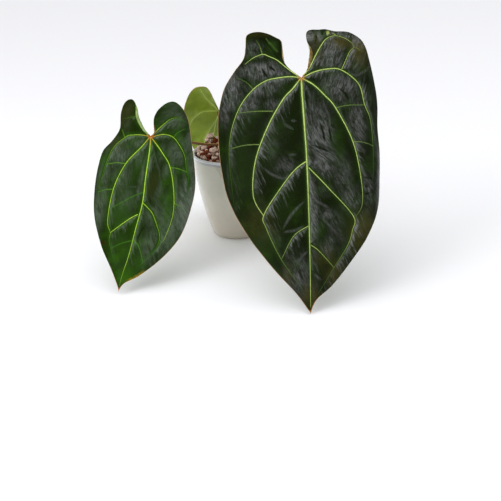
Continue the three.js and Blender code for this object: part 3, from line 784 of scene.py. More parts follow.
def blade_sheet(name, leaf):
    """The blade's middle surface, with its plan kept as attributes for the finish."""
    left = half_columns(leaf, leaf["left"])
    right = half_columns(leaf, leaf["right"])
    inner, outer, place = (
        np.concatenate([one, other[-2:0:-1]]) for one, other in zip(left, right)
    )
    count, rings = len(inner), leaf["rings"]
    rows = rings + 1
    share = 1 - (1 - np.arange(rows) / rings) ** EDGE_CROWDING
    plan = inner[:, None] + (outer - inner)[:, None] * share[None, :, None]
    plan = plan.reshape(-1, 2)
    shares = np.tile(share, count)
    places = np.repeat(place, rows)
    margin = nearest_on(plan, np.concatenate([outer, outer[:1]]))[1]
    fields = vein_fields(leaf, plan)
    fields["streak"] = streak_place(plan)
    for field, lines in (("ridge", "ridges"), ("crease", "creases"), ("pleat", "pleats")):
        fields[field] = line_distance(plan, leaf[lines])
    for tint in ("grey", "green", "olive", "shade"):
        fields[tint] = patch_strength(plan, leaf[tint])
    height = sheet_height(leaf, plan, fields, margin)
    height += leaf["wave"] * shares**5 * np.sin(WAVES_PER_PLACE * places)
    height += RIPPLE_HEIGHT * shares**8 * wobble(plan, RIPPLE_SIZE, 8.0)
    seat, across, along, out = leaf_axes(leaf)
    points = seat + plan[:, :1] * across + plan[:, 1:] * along + height[:, None] * out
    faces = []
    for c in range(count):
        first, second = c * rows, ((c + 1) % count) * rows
        for r in range(rings):
            faces.append((first + r, second + r, second + r + 1, first + r + 1))
    attributes = {"leaf_place": np.column_stack([plan, margin])}
    for label, parts in BLADE_FIELDS.items():
        attributes[label] = np.column_stack([fields[part] for part in parts])
    return mesh_object(name, points, faces, attributes)


def on_sheet(leaf, sheet, u, v):
    """The place on the blade's sheet above a point of the plan, and its normal, or None."""
    seat, across, along, out = leaf_axes(leaf)
    above = Vector((seat + u * across + v * along + FAR * out) * MM)
    place, normal, _, _ = sheet.ray_cast(above, -Vector(out))
    if place is None:
        return None
    return np.array(place) / MM, np.array(normal) * (1 if Vector(out).dot(normal) > 0 else -1)


def rib_rings(leaf, sheet, vein):
    """Sections of a vein that rises a little from both faces of the blade, and its widths."""
    start, end, *points = vein
    line, share = plan_line(points, 1.6)
    found = [on_sheet(leaf, sheet, u, v) for u, v in line]
    kept = [i for i, place in enumerate(found) if place is not None]
    centres = np.array([found[i][0] for i in kept])
    normals = np.array([found[i][1] for i in kept])
    widths = start + (end - start) * share[kept] ** TAPER
    depth_share = RIB_DEPTH if start > FINE_VEIN else FINE_RIB_DEPTH
    rings = []
    for centre, normal, heading, width in zip(centres, normals, directions(centres), widths):
        aside = np.cross(heading, normal)
        rise = BLADE_THICKNESS / 2 + RIB_LIFT + RIB_RISE * width
        fall = BLADE_THICKNESS / 2 + depth_share * width
        ring = []
        for k in range(RIB_SIDES):
            angle = 2 * math.pi * k / RIB_SIDES
            lift = math.sin(angle) * (rise if math.sin(angle) > 0 else fall)
            ring.append(centre + aside * width / 2 * math.cos(angle) + normal * lift)
        rings.append(ring)
    return np.array(rings), widths


def sheet_tree(blade):
    """What rays are cast on, made of the blade's faces."""
    surface = bmesh.new()
    surface.from_mesh(blade.data)
    sheet = BVHTree.FromBMesh(surface)
    surface.free()
    return sheet


def vein_net(name, leaf, sheet):
    """The net of veins of one leaf, as slim ribs."""
    points, faces, marks = [], [], []
    for vein in leaf["veins"]:
        rings, widths = rib_rings(leaf, sheet, vein)
        more, more_faces = skin_rings(rings)
        faces += [tuple(i + len(points) for i in face) for face in more_faces]
        points += list(more)
        gap = np.linalg.norm(more - np.array(leaf["seat"]), axis=1)
        widths = np.repeat(widths, RIB_SIDES)
        marks += list(np.column_stack([widths, np.full(len(more), vein[0]), gap]))
    ribs = mesh_object(name + "_veins", points, faces, {"vein_run": np.array(marks)})
    face_outwards(ribs)
    smooth(ribs)
    return ribs


# A curled margin: the share of its radius that it overhangs the outline, how far in from the
# outline the sheet is probed for its height, and how far round it turns, in degrees
ROLL_OVERHANG = 0.9
ROLL_PROBE = 0.9
ROLL_TURN = 215
ROLL_STEPS = 12
ROLL_SECTIONS = 44
ROLL_THICKNESS = 0.35
# Share of its radius that a curl keeps at its ends, and how bluntly it swells between them
ROLL_LEAST = 0.12
ROLL_SWELL = 0.8


def rolled_margin(name, leaf, sheet, roll, finish):
    """A stretch of the margin that has curled forward and shows the leaf's underside."""
    half = leaf[roll["half"]]["points"]
    line = through(half, np.linspace(roll["start"], roll["end"], ROLL_SECTIONS))
    _, across, along, out = leaf_axes(leaf)
    points = []
    for i, (spot, heading) in enumerate(zip(line, directions(line))):
        swell = math.sin(math.pi * (i / (ROLL_SECTIONS - 1)) ** roll["skew"]) ** ROLL_SWELL
        radius = roll["radius"] * (ROLL_LEAST + (1 - ROLL_LEAST) * swell)
        way = np.array([heading[1], -heading[0]]) * (1 if roll["half"] == "left" else -1)
        found = on_sheet(leaf, sheet, *(spot + ROLL_PROBE * way))
        if found is None:
            continue
        centre, normal = found
        inward = way[0] * across + way[1] * along
        for k in range(ROLL_STEPS + 1):
            angle = math.radians(ROLL_TURN) * k / ROLL_STEPS
            step = radius * (1 - ROLL_OVERHANG - math.cos(angle)) - ROLL_PROBE
            points.append(centre + inward * step + normal * (radius * math.sin(angle) + 0.1))
    wide = ROLL_STEPS + 1
    piece = mesh_object(name, points, grid_faces(len(points) // wide, wide))
    merge_and_face(piece, out)
    thicken(piece, ROLL_THICKNESS)
    smooth(piece, 60)
    dress(piece, "blade_dark", finish)


# Finishes. A colour is written as the red, green and blue of a picture, from 0 to 255.
def tone(red, green, blue):
    shares = [value / 255 for value in (red, green, blue)]
    straight = [s / 12.92 if s <= 0.04045 else ((s + 0.055) / 1.055) ** 2.4 for s in shares]
    return (*straight, 1)


def new_finish(name, colour, roughness, others=None):
    """A plain material, and the tree for its nodes. others: values of more of its inputs."""
    material = bpy.data.materials.new(name)
    material.use_nodes = True
    inputs = material.node_tree.nodes["Principled BSDF"].inputs
    values = {"Base Color": colour, "Roughness": roughness, **(others or {})}
    for label, value in values.items():
        inputs[label].default_value = value
    return material, material.node_tree


def paint(tree, colour, bump=None, roughness=None):
    """Links what the nodes give to the material's shader."""
    inputs = tree.nodes["Principled BSDF"].inputs
    for label, output in (("Base Color", colour), ("Normal", bump), ("Roughness", roughness)):
        if output is not None:
            tree.links.new(output, inputs[label])


def add(tree, kind, inputs=None, **settings):
    """Adds a node. An input is a value, or another node's output."""
    node = tree.nodes.new("ShaderNode" + kind)
    for name, value in settings.items():
        setattr(node, name, value)
    for name, value in (inputs or {}).items():
        if isinstance(value, bpy.types.NodeSocket):
            tree.links.new(value, node.inputs[name])
        else:
            node.inputs[name].default_value = value
    return node


def maths(tree, operation, *values, clamp=False):
    settings = {"operation": operation, "use_clamp": clamp}
    return add(tree, "Math", dict(enumerate(values)), **settings).outputs[0]


def times(tree, *values):
    result = values[0]
    for value in values[1:]:
        result = maths(tree, "MULTIPLY", result, value)
    return result


def ease(tree, value, low, high, start=0.0, end=1.0):
    """Goes smoothly from start to end as value goes from low to high."""
    inputs = {0: value, 1: low, 2: high, 3: start, 4: end}
    return add(tree, "MapRange", inputs, interpolation_type="SMOOTHSTEP").outputs[0]


def blend(tree, share, first, second):
    inputs = {0: share, 6: first, 7: second}
    return add(tree, "Mix", inputs, data_type="RGBA").outputs[2]


def layered(tree, colour, *layers):
    """Lays colours over one another; a layer is the share that it covers, and its colour."""
    for share, layer in layers:
        colour = blend(tree, share, colour, layer)
    return colour


def place_on(tree, label):
    """The three values of an attribute."""
    attribute = add(tree, "Attribute", attribute_type="GEOMETRY", attribute_name=label)
    parts = add(tree, "SeparateXYZ", {0: attribute.outputs["Vector"]})
    return parts.outputs[0], parts.outputs[1], parts.outputs[2]


def joined(tree, x, y, z=0.0):
    return add(tree, "CombineXYZ", {0: x, 1: y, 2: z}).outputs[0]


def cloud(tree, vector, scale, detail=3.0, roughness=0.55, distortion=0.0):
    inputs = {
        "Vector": vector, "Scale": scale, "Detail": detail, "Roughness": roughness,
        "Distortion": distortion,
    }
    return add(tree, "TexNoise", inputs).outputs[0]


def cells(tree, vector, scale, feature="F1"):
    inputs = {"Vector": vector, "Scale": scale}
    return add(tree, "TexVoronoi", inputs, feature=feature).outputs["Distance"]


def raised(tree, height, distance, strength=1.0, below=None):
    """A bump; distance in millimetres."""
    inputs = {"Height": height, "Distance": distance * MM, "Strength": strength}
    if below is not None:
        inputs["Normal"] = below
    return add(tree, "Bump", inputs).outputs[0]


def grainy_finish(name, base, roughness, grain_look, spread, tones, bump=None):
    """Two tones in grain. spread: from where to where the grain goes from one to the other."""
    material, tree = new_finish(name, base, roughness)
    grain = cloud(tree, object_place(tree), *grain_look)
    raise_it = raised(tree, grain, *bump) if bump else None
    paint(tree, blend(tree, ease(tree, grain, *spread), *tones), raise_it)
    return material


def object_place(tree):
    """Places on the object, in metres."""
    return add(tree, "TexCoord").outputs["Object"]


def streaky(tree, streak, along, width, length, seed, *look):
    """Noise in streaks of about this width and length, in millimetres."""
    place = joined(tree, times(tree, streak, 1 / width), times(tree, along, 1 / length), seed)
    return cloud(tree, place, 1.0, *look)


def fibrous(tree, place, scale, stretch):
    """Noise in fibres along +Z; a low stretch makes them long."""
    stretched = add(tree, "Mapping", {"Vector": place, "Scale": (1, 1, stretch)}).outputs[0]
    return cloud(tree, stretched, scale, 4.0, 0.6)


# The leaves' upper side: near-black green with a streaky grey sheen that trails from the veins;
# the sheen is painted into the colour, a painted reflection of the light. pleat is the colour of
# the painted highlight on the pleats.
# tan_side: the side where the margin is tan. vein: bright and dim tones, the tone near the stalk,
# and how far that reaches. marked: whether the leaf has the scorch and the nick.
DARK_LOOK = {
    "deep": tone(18, 26, 6),
    "green": tone(32, 55, 8),
    "painted_sheen": tone(111, 112, 111),
    "halo": tone(68, 98, 34),
    "olive": tone(66, 62, 26),
    "pleat": tone(190, 200, 110),
    "painted_sheen_share": 0.86,
    "calm": 0.3,
    "roughness": 0.3,
    "margin": tone(62, 60, 24),
    "tan_side": -1,
    "tip": (0, 303),
    "vein": (tone(188, 207, 112), tone(52, 84, 20), tone(176, 150, 70), 12),
    "marked": False,
}
BRIGHT_LOOK = {
    "deep": tone(22, 40, 2),
    "green": tone(42, 80, 2),
    "painted_sheen": tone(104, 116, 100),
    "halo": tone(62, 118, 10),
    "olive": tone(48, 48, 16),
    "pleat": tone(80, 120, 30),
    "painted_sheen_share": 0.58,
    "calm": 0.5,
    "roughness": 0.3,
    "margin": tone(58, 80, 20),
    "tan_side": 1,
    "tip": (0, 217),
    "vein": (tone(180, 212, 60), tone(52, 110, 12), tone(200, 116, 54), 20),
    "marked": True,
}
YOUNG_LOOK = {
    **BRIGHT_LOOK,
    "deep": tone(84, 106, 34),
    "green": tone(112, 132, 46),
    "painted_sheen": tone(150, 160, 110),
    "halo": tone(120, 146, 60),
    "olive": tone(118, 122, 50),
    "painted_sheen_share": 0.3,
    "roughness": 0.45,
    "tip": (0, 149),
    "vein": (tone(188, 214, 84), tone(164, 190, 54), tone(166, 180, 70), 12),
    "marked": False,
}
MARGIN_TAN = tone(204, 160, 118)
SEAT_RED = tone(170, 80, 40)
TIP_AMBER = tone(196, 124, 44)
# The dark green painted into creases, as shade in the grooves
CREASE_SHADE = tone(14, 22, 6)
# The left leaf's marks: a yellow scorch on its margin, and a brown nick
SCORCH = {"centre": (17, 191), "reach": 17, "depth": 4, "tone": tone(160, 128, 16)}
NICK = {"centre": (-33, 157), "tone": tone(42, 32, 10)}


def plan_gap(tree, plan, u, v):
    """Distance in the plan to one place."""
    return add(tree, "VectorMath", {0: plan, 1: (u, v, 0)}, operation="DISTANCE").outputs["Value"]


def painted_sheen_share(tree, near, side, streak, along, grey, ridge, calm):
    """Where grey sheen is painted on the blade: beside veins with a feathered edge, in patches and
    on ridges. calm is how much of the grey the gaps between its streaks keep. Gives the fine
    hatching too."""
    barbs = streaky(tree, streak, along, 3.4, 40, 0.0, 3.0, 0.6)
    hatch = streaky(tree, streak, along, 1.9, 12, 7.0, 4.0, 0.65, 0.8)
    mottle = streaky(tree, streak, along, 7, 17, 3.0, 3.0, 0.6, 0.6)
    grain = streaky(tree, streak, along, 2.3, 6.5, 5.0, 4.0, 0.65, 0.5)
    flecks = times(tree, ease(tree, mottle, 0.38, 0.54, calm, 1),
                   ease(tree, grain, 0.4, 0.58, 1.5 * calm, 1))
    core_edge = maths(tree, "SUBTRACT", ease(tree, barbs, 0.3, 0.7, 2.6, 7.5), near)
    core = times(tree, ease(tree, core_edge, -1.6, 2.4), flecks)
    barb_edge = maths(tree, "SUBTRACT", ease(tree, barbs, 0.35, 0.74, 1.5, 24), near)
    barb = times(tree, ease(tree, barb_edge, -5, 11, 0, 0.58), ease(tree, hatch, 0.36, 0.64))
    strip = times(tree, maths(tree, "MAXIMUM", core, barb), ease(tree, side, 0.1, 0.85),
                  ease(tree, near, 0.7, 1.9))
    broad = times(tree, grey, ease(tree, hatch, 0.36, 0.6, calm, 1), flecks,
                  ease(tree, near, 0.8, 4.5))
    lines = times(tree, ease(tree, ridge, 0.1, 3.0, 0.38, 0), ease(tree, hatch, 0.34, 0.6, 0.35, 1))
    return maths(tree, "MAXIMUM", maths(tree, "MAXIMUM", strip, broad), lines), hatch


def marked(tree, colour, plan, margin, patches):
    """The colour with the left leaf's scorch and nick."""
    reach, depth = SCORCH["reach"], SCORCH["depth"]
    gap = plan_gap(tree, plan, *SCORCH["centre"])
    inland = maths(tree, "ADD", margin, times(tree, patches, 3))
    spread = times(tree, ease(tree, gap, 0.5 * reach, reach, 1, 0),
                   ease(tree, inland, 0.5 * depth, 1.4 * depth, 1, 0))
    spots = ease(tree, cloud(tree, plan, 1 / 3.5, 2.0), 0.4, 0.6, 0.35, 0.85)
    nick = ease(tree, plan_gap(tree, plan, *NICK["centre"]), 1.5, 4, 0.9, 0)
    return layered(tree, colour, (times(tree, spread, spots), SCORCH["tone"]),
                   (nick, NICK["tone"]))


def upper_finish(name, look):
    """A leaf's upper side: its greens, painted sheen, folds (creases with painted shade, pleats
    with a painted highlight) and veins' glow, then its seat and margin.
    """
    material, tree = new_finish(name, look["deep"], look["roughness"], {"Specular IOR Level": 0.2})
    u, v, margin = place_on(tree, "leaf_place")
    near, side, streak = place_on(tree, "vein_place")
    halo, fine, ridge = place_on(tree, "halo_place")
    crease, pleat, shade = place_on(tree, "fold_place")
    grey, green, olive = place_on(tree, "tint_place")
    plan = joined(tree, u, v)
    patches = cloud(tree, plan, 1 / 26, 3.0)
    painted_sheen, hatch = painted_sheen_share(tree, near, side, streak, v, grey, ridge, look["calm"])
    fresh = maths(tree, "ADD", times(tree, green, 0.75), ease(tree, patches, 0.46, 0.74, 0, 0.5),
                  clamp=True)
    # lit holds the painted sheen back in the creases and in the shade patches
    lit = times(tree, ease(tree, crease, 0.5, 2.4, 0.05, 1), ease(tree, shade, 0, 1, 1, 0.12))
    # A painted bright highlight along the pleats
    pleat_highlights = times(tree, ease(tree, pleat, 0.1, 2.0, 0.6, 0), ease(tree, hatch, 0.35, 0.6, 0.4, 1))
    colour = layered(
        tree, look["deep"],
        (fresh, look["green"]),
        (ease(tree, near, 1, 7, 0.4, 0), look["green"]),
        (times(tree, olive, ease(tree, patches, 0.3, 0.6, 0.5, 1)), look["olive"]),
        # The grey sheen, painted into the colour
        (times(tree, painted_sheen, lit, look["painted_sheen_share"]), look["painted_sheen"]),
        # Creases are painted dark as shade
        (ease(tree, crease, 0.3, 1.8, 0.7, 0), CREASE_SHADE),
        (pleat_highlights, look["pleat"]),
        (ease(tree, halo, 0.12, 0.8, 0, 0.8), look["halo"]),
        (ease(tree, fine, 0.3, 1.6, 0.4, 0), look["halo"]),
    )
    if look["marked"]:
        colour = marked(tree, colour, plan, margin, patches)
    seat_gap = plan_gap(tree, plan, 0, 0)
    tip_gap = plan_gap(tree, plan, *look["tip"])
    tan = times(tree, ease(tree, times(tree, u, look["tan_side"]), 5, 40),
                ease(tree, patches, 0.35, 0.6, 0.5, 1))
    edge = layered(
        tree, look["margin"],
        (tan, MARGIN_TAN),
        (ease(tree, seat_gap, 8, 26, 0.8, 0), SEAT_RED),
        (ease(tree, tip_gap, 8, 50, 0.9, 0), TIP_AMBER),
    )
    colour = layered(
        tree, colour,
        (ease(tree, seat_gap, 1.5, 6, 0.9, 0), SEAT_RED),
        (ease(tree, tip_gap, 1, 6, 0.6, 0), TIP_AMBER),
        (ease(tree, margin, 0.1, 0.75, 0.75, 0), edge),
    )
    veinlets = ease(tree, cells(tree, plan, 1 / 4.2, "DISTANCE_TO_EDGE"), 0, 0.16)
    bump = raised(tree, hatch, 0.8, 0.5, raised(tree, veinlets, 0.12, 0.45))
    bump = raised(tree, cloud(tree, plan, 1 / 1.1, 2.0), 0.05, 0.5, bump)
    gloss = ease(tree, hatch, 0.3, 0.7, look["roughness"] + 0.08, look["roughness"] - 0.08)
    gloss = maths(tree, "ADD", gloss, ease(tree, shade, 0.1, 0.8, 0, 0.65), clamp=True)
    paint(tree, colour, bump, gloss)
    return material


def under_finish(name, pale, deep, bloom):
    """A leaf's matt underside, paler, with a fine net and a whitish bloom in places."""
    material, tree = new_finish(name, pale, 0.55, {"Specular IOR Level": 0.3})
    u, v, margin = place_on(tree, "leaf_place")
    near, _, streak = place_on(tree, "vein_place")
    grey = place_on(tree, "tint_place")[0]
    plan = joined(tree, u, v)
    patches = cloud(tree, plan, 1 / 30, 3.0)
    net = ease(tree, cells(tree, plan, 1 / 5, "DISTANCE_TO_EDGE"), 0, 0.12)
    grain = streaky(tree, streak, v, 3, 24, 0.0)
    colour = layered(
        tree, pale,
        (ease(tree, patches, 0.3, 0.7), deep),
        (times(tree, grey, 0.6), bloom),
        (times(tree, net, 0.18), deep),
        (ease(tree, grain, 0.4, 0.7, 0, 0.4), deep),
        (ease(tree, near, 0.5, 5, 0.42, 0), bloom),
        (ease(tree, margin, 0.15, 0.8, 0.6, 0), MARGIN_TAN),
    )
    paint(tree, colour, raised(tree, net, 0.15, 0.5, raised(tree, grain, 0.4, 0.5)))
    return material


def rim_finish(name, look):
    """The cut-thin margin of a leaf."""
    material, tree = new_finish(name, MARGIN_TAN, 0.5)
    u, v, _ = place_on(tree, "leaf_place")
    plan = joined(tree, u, v)
    colour = layered(
        tree, look["margin"],
        (ease(tree, times(tree, u, look["tan_side"]), 5, 40), MARGIN_TAN),
        (ease(tree, plan_gap(tree, plan, 0, 0), 8, 26, 0.9, 0), SEAT_RED),
        (ease(tree, cloud(tree, plan, 1 / 9, 3.0), 0.35, 0.65, 0, 0.5), look["margin"]),
        (ease(tree, plan_gap(tree, plan, *look["tip"]), 8, 50, 0.9, 0), TIP_AMBER),
    )
    paint(tree, colour)
    return material


def vein_finish(name, bright, dim, seat_colour, seat_reach):
    """Veins: yellow-green, warm where they meet the stalk, and dimmer where they are thin."""
    material, tree = new_finish(name, bright, 0.42)
    width, first_width, gap = place_on(tree, "vein_run")
    flecks = cloud(tree, object_place(tree), 160, 2.0)
    colour = layered(
        tree, dim,
        (ease(tree, width, 0.45, 1.05), bright),
        (ease(tree, first_width, 0.7, 1.1, 0.42, 0), dim),
        (ease(tree, gap, 70, 210, 0, 0.2), dim),
        (ease(tree, gap, 2, seat_reach, 0.85, 0), seat_colour),
        (ease(tree, flecks, 0.35, 0.7, 0, 0.25), dim),
    )
    paint(tree, colour, raised(tree, flecks, 0.1, 0.4))
    return material


def plain_underside(name, light, dark):
    """The underside that a curled margin shows."""
    return grainy_finish(name, light, 0.5, (130, 3.0), (0.35, 0.65), (light, dark))


# Curls: between which places on the outline, how wide, and how far along they are widest
LEFT_ROLL = {"half": "left", "start": 0.2, "end": 3.1, "radius": 2.0, "skew": 1.3}
LARGE_ROLL = {"half": "right", "start": 0.7, "end": 3.4, "radius": 2.2, "skew": 1.5}


def make_leaf(name, leaf, node, slot, look, underside):
    """One leaf: its thin blade and its net of veins. Gives what a curl of its margin is set on."""
    blade = blade_sheet(name, leaf)
    merge_and_face(blade, leaf_axes(leaf)[3])
    sheet = sheet_tree(blade)
    ribs = vein_net(name, leaf, sheet)
    upper_side = upper_finish(name + "_upper_side", look)
    dress(blade, slot, upper_side, underside, rim_finish(name + "_margin", look))
    thicken(blade, BLADE_THICKNESS, material_offset=1, material_offset_rim=2)
    smooth(blade, 60)
    dress(ribs, slot, vein_finish(name + "_vein", *look["vein"]))
    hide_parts(node)
    return sheet


def make_leaves():
    dark_under = under_finish(
        "dark_leaf_underside", tone(126, 140, 84), tone(92, 112, 58), tone(132, 146, 98)
    )
    young_under = under_finish(
        "small_leaf_underside", tone(154, 178, 46), tone(120, 144, 20), tone(176, 196, 110)
    )
    olive = plain_underside("curl_olive", tone(146, 128, 66), tone(96, 76, 36))
    pale = plain_underside("curl_pale", tone(142, 164, 100), tone(108, 136, 62))
    sheet = make_leaf(
        "large_leaf", LARGE_LEAF, "blade_large", "blade_dark", DARK_LOOK, dark_under
    )
    rolled_margin("large_leaf_curl", LARGE_LEAF, sheet, LARGE_ROLL, olive)
    sheet = make_leaf("left_leaf", LEFT_LEAF, "blade_left", "blade_dark", BRIGHT_LOOK, dark_under)
    rolled_margin("left_leaf_curl", LEFT_LEAF, sheet, LEFT_ROLL, pale)
    make_leaf("small_leaf", SMALL_LEAF, "blade_small", "blade_young", YOUNG_LOOK, young_under)


# Stalks
STALKS = {
    "petiole_large": {
        "leaf": LARGE_LEAF, "radius": 2.5,
        "route": [(1, -1, 139), (10, -9, 149), (18, -16, 177), (34, -32, 213), (58, -64, 239),
                  (82, -101, 251)],
    },
    "petiole_left": {
        "leaf": LEFT_LEAF, "radius": 2.1,
        "route": [(0, 0, 142), (-13, -10, 144.5), (-32, -25, 148.5), (-62, -48, 161),
                  (-92, -72, 181)],
    },
    "petiole_small": {
        "leaf": SMALL_LEAF, "radius": 1.8,
        "route": [(0, 1, 141), (-5, 9, 154), (-13, 18, 170)],
    },
}
STALK_SECTIONS, STALK_SIDES = 110, 20
GROOVE_DEPTH, GROOVE_WIDTH = 0.16, 0.45
# How much a stalk swells where it sheathes the stem, and at the knee below its blade
SHEATH_SWELL, SHEATH_SHARE = 0.7, 0.13
KNEE_SWELL, KNEE_PLACE, KNEE_SHARE = 0.55, 0.97, 0.06


def tube(name, centres, radii, sides, groove=0.0):
    """A round stalk or root; groove is how far its upper side is flattened."""
    headings = directions(centres)
    aside = np.cross(headings[0], (0, 0, 1))
    rings, marks = [], []
    for i, (centre, heading, radius) in enumerate(zip(centres, headings, radii)):
        aside = aside - aside.dot(heading) * heading
        aside /= np.linalg.norm(aside)
        up = np.cross(aside, heading)
        ring = []
        for k in range(sides):
            angle = 2 * math.pi * k / sides
            reach = radius * (1 - groove * bell(angle - math.pi / 2, GROOVE_WIDTH))
            ring.append(centre + reach * (math.cos(angle) * aside + math.sin(angle) * up))
            marks.append((i / (len(centres) - 1), math.sin(angle), radius * angle))
        rings.append(ring)
    points, faces = skin_rings(rings)
    piece = mesh_object(name, points, faces, {"stalk_place": np.array(marks)})
    face_outwards(piece)
    smooth(piece, 50)
    return piece


def stalk_finish(name, brown, green, pale):
    """A stalk: brown with a pale, greener upper edge and fine long flecks; the pale of the upper
    edge is a painted highlight.
    """
    material, tree = new_finish(name, brown, 0.42)
    share, facing, round_it = place_on(tree, "stalk_place")
    flecks = cloud(tree, joined(tree, times(tree, share, 60), round_it), 1.0, 3.0)
    colour = layered(
        tree, brown,
        (ease(tree, flecks, 0.35, 0.7, 0, 0.6), green),
        # A painted pale highlight along the upper side
        (ease(tree, facing, 0.55, 0.95, 0, 0.7), pale),
        (ease(tree, share, 0.88, 0.97), green),
    )
    paint(tree, colour, raised(tree, flecks, 0.25, 0.5))
    return material


def make_stalks():
    finish = stalk_finish("stalk_skin", tone(112, 66, 36), tone(116, 108, 52), tone(176, 132, 94))
    for node, plan in STALKS.items():
        leaf = plan["leaf"]
        seat, _, along, out = leaf_axes(leaf)
        meet = seat + 4 * along + relief(leaf, np.array(0.0), np.array(4.0)) * out
        route = [*plan["route"], meet - 8 * out, meet - 0.3 * out]
        run = np.linspace(0, 1, STALK_SECTIONS)
        swell = SHEATH_SWELL * bell(run, SHEATH_SHARE)
        swell += KNEE_SWELL * bell(run - KNEE_PLACE, KNEE_SHARE)
        radii = plan["radius"] * (1 + swell) * (1 + 0.03 * np.sin(90 * run))
        centres = smooth_route(route, STALK_SECTIONS)
        name = node.replace("petiole", "stalk")
        stalk = tube(name, centres, radii, STALK_SIDES, GROOVE_DEPTH)
        dress(stalk, "petiole", finish)
        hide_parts(node)


# Pot. A profile is a list of radii and heights.
FOOT = [(33, 2), (33.6, 1.6), (34.8, 1.3), (36.4, 0.3), (38.6, 0), (40.4, 0.15)]
POT_OUTSIDE = [
    (41.4, 0.9), (43, 3.6), (47, 15), (50.2, 26), (53.4, 42), (56.4, 58), (59.3, 74), (61.6, 90),
    (62.9, 106), (63.1, 118), (62.9, 123.6), (62.7, 125.2), (63.3, 126.3), (64.6, 127.3),
    (65, 128.6), (64.8, 130.1), (64, 130.9),
]
POT_INSIDE = [
    (62.6, 131), (61.5, 130.5), (60.8, 129.2), (60.2, 125), (59.4, 112), (58.2, 98), (54.4, 70),
    (49.4, 42), (44.5, 20), (41.5, 9), (38, 5.4), (30, 5),
]
POT_SIDES = 96
DRAIN_HOLES = 3
DRAIN_RADIUS = 3.5
DRAIN_CIRCLE = 22
DRAIN_START = math.radians(30)
# The clay is bare on the foot ring and within it
BARE_RING_HEIGHT = 0.7
BARE_RADIUS, BARE_HEIGHT = 33.5, 11


def turned(name, profile, sides):
    """A round form, drawn up by extruding a circle through a profile, and closed at both ends."""
    radius, height = profile[0]
    deselect_all()
    bpy.ops.mesh.primitive_circle_add(
        vertices=sides, radius=radius * MM, fill_type="TRIFAN", location=(0, 0, height * MM)
    )
    piece = bpy.context.object
    piece.name = name
    bpy.ops.object.mode_set(mode="EDIT")
    bpy.ops.mesh.select_all(action="DESELECT")
    bpy.ops.object.mode_set(mode="OBJECT")
    rim = [vertex.co.length > 0.5 * radius * MM for vertex in piece.data.vertices]
    piece.data.vertices.foreach_set("select", rim)
    for edge in piece.data.edges:
        edge.select = all(rim[i] for i in edge.vertices)
    bpy.ops.object.mode_set(mode="EDIT")
    bpy.ops.mesh.select_mode(type="EDGE")
    for next_radius, next_height in profile[1:]:
        lift = (0, 0, (next_height - height) * MM)
        bpy.ops.mesh.extrude_edges_move(TRANSFORM_OT_translate={"value": lift})
        size = next_radius / radius
        bpy.ops.transform.resize(value=(size, size, 1), center_override=(0, 0, next_height * MM))
        radius, height = next_radius, next_height
    bpy.ops.mesh.edge_face_add()
    bpy.ops.mesh.poke()
    bpy.ops.object.mode_set(mode="OBJECT")
    apply_place(piece)
    face_outwards(piece)
    return piece


def glaze_finish():
    """A white glaze: glossy and faintly wavy from the wheel. Its colour is darker towards the top, a
    painted shade from the leaves, and warmer towards the foot, a painted warm reflection; the
    groove below the lip has a blue-grey line and the lip a bluish tone, both painted shade."""
    material, tree = new_finish(
        "white_glaze", tone(226, 224, 216), 0.16, {"Coat Weight": 0.5, "Coat Roughness": 0.06}
    )
    place = object_place(tree)
    height = add(tree, "SeparateXYZ", {0: place}).outputs[2]
    drift = cloud(tree, place, 22, 3.0)
    specks = cells(tree, place, 620)
    # groove: the blue-grey line below the lip, painted shade in the groove
    groove = times(tree, ease(tree, height, 0.1228, 0.125),
                   ease(tree, height, 0.1268, 0.1288, 1, 0), 0.7)
    colour = layered(
        tree, tone(208, 206, 195),
        (ease(tree, drift, 0.3, 0.7), tone(197, 194, 181)),
        # The warm tone near the foot is a painted reflection, the darker tone higher up is painted
        # shade from the leaves, and the bluish lip tone is painted shade
        (ease(tree, height, 0.11, 0.0, 0, 0.75), tone(200, 189, 172)),
        (ease(tree, height, 0.07, 0.115, 0, 0.8), tone(187, 185, 172)),
        (groove, tone(128, 134, 150)),
        (ease(tree, height, 0.1272, 0.1284, 0, 0.8), tone(203, 205, 212)),
        (ease(tree, specks, 0.06, 0.1, 0.25, 0), tone(150, 140, 120)),
    )
    waves = {"Vector": place, "Scale": 62, "Distortion": 1.4, "Detail": 1.0}
    rings = add(tree, "TexWave", waves, bands_direction="Z").outputs[1]
    bump = raised(tree, rings, 0.1, 0.35)
    bump = raised(tree, cloud(tree, place, 90, 2.0), 0.12, 0.4, bump)
    paint(tree, colour, bump, ease(tree, drift, 0.3, 0.7, 0.13, 0.22))
    return material


def bisque_finish():
    """The bare clay of the foot."""
    tones = (tone(212, 198, 174), tone(182, 162, 134))
    return grainy_finish(
        "unglazed_foot", tone(206, 190, 164), 0.85, (900, 4.0), (0.3, 0.7), tones, (0.15, 0.6)
    )


def make_pot():
    pot = turned("glazed_pot", [*FOOT, *POT_OUTSIDE, *POT_INSIDE], POT_SIDES)
    for i in range(DRAIN_HOLES):
        angle = DRAIN_START + 2 * math.pi * i / DRAIN_HOLES
        place = (DRAIN_CIRCLE * MM * math.cos(angle), DRAIN_CIRCLE * MM * math.sin(angle), 0)
        deselect_all()
        bpy.ops.mesh.primitive_cylinder_add(
            vertices=32, radius=DRAIN_RADIUS * MM, depth=20 * MM, location=place
        )
        drill = bpy.context.object
        add_modifier(pot, "BOOLEAN", operation="DIFFERENCE", object=drill, solver="EXACT")
        bpy.data.objects.remove(drill)
    smooth(pot, 40)
    dress(pot, "glaze", glaze_finish(), bisque_finish())
    for face in pot.data.polygons:
        x, y, z = face.center / MM
        within = math.hypot(x, y) < BARE_RADIUS and z < BARE_HEIGHT
        face.material_index = int(within or z < BARE_RING_HEIGHT)
    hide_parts("pot")


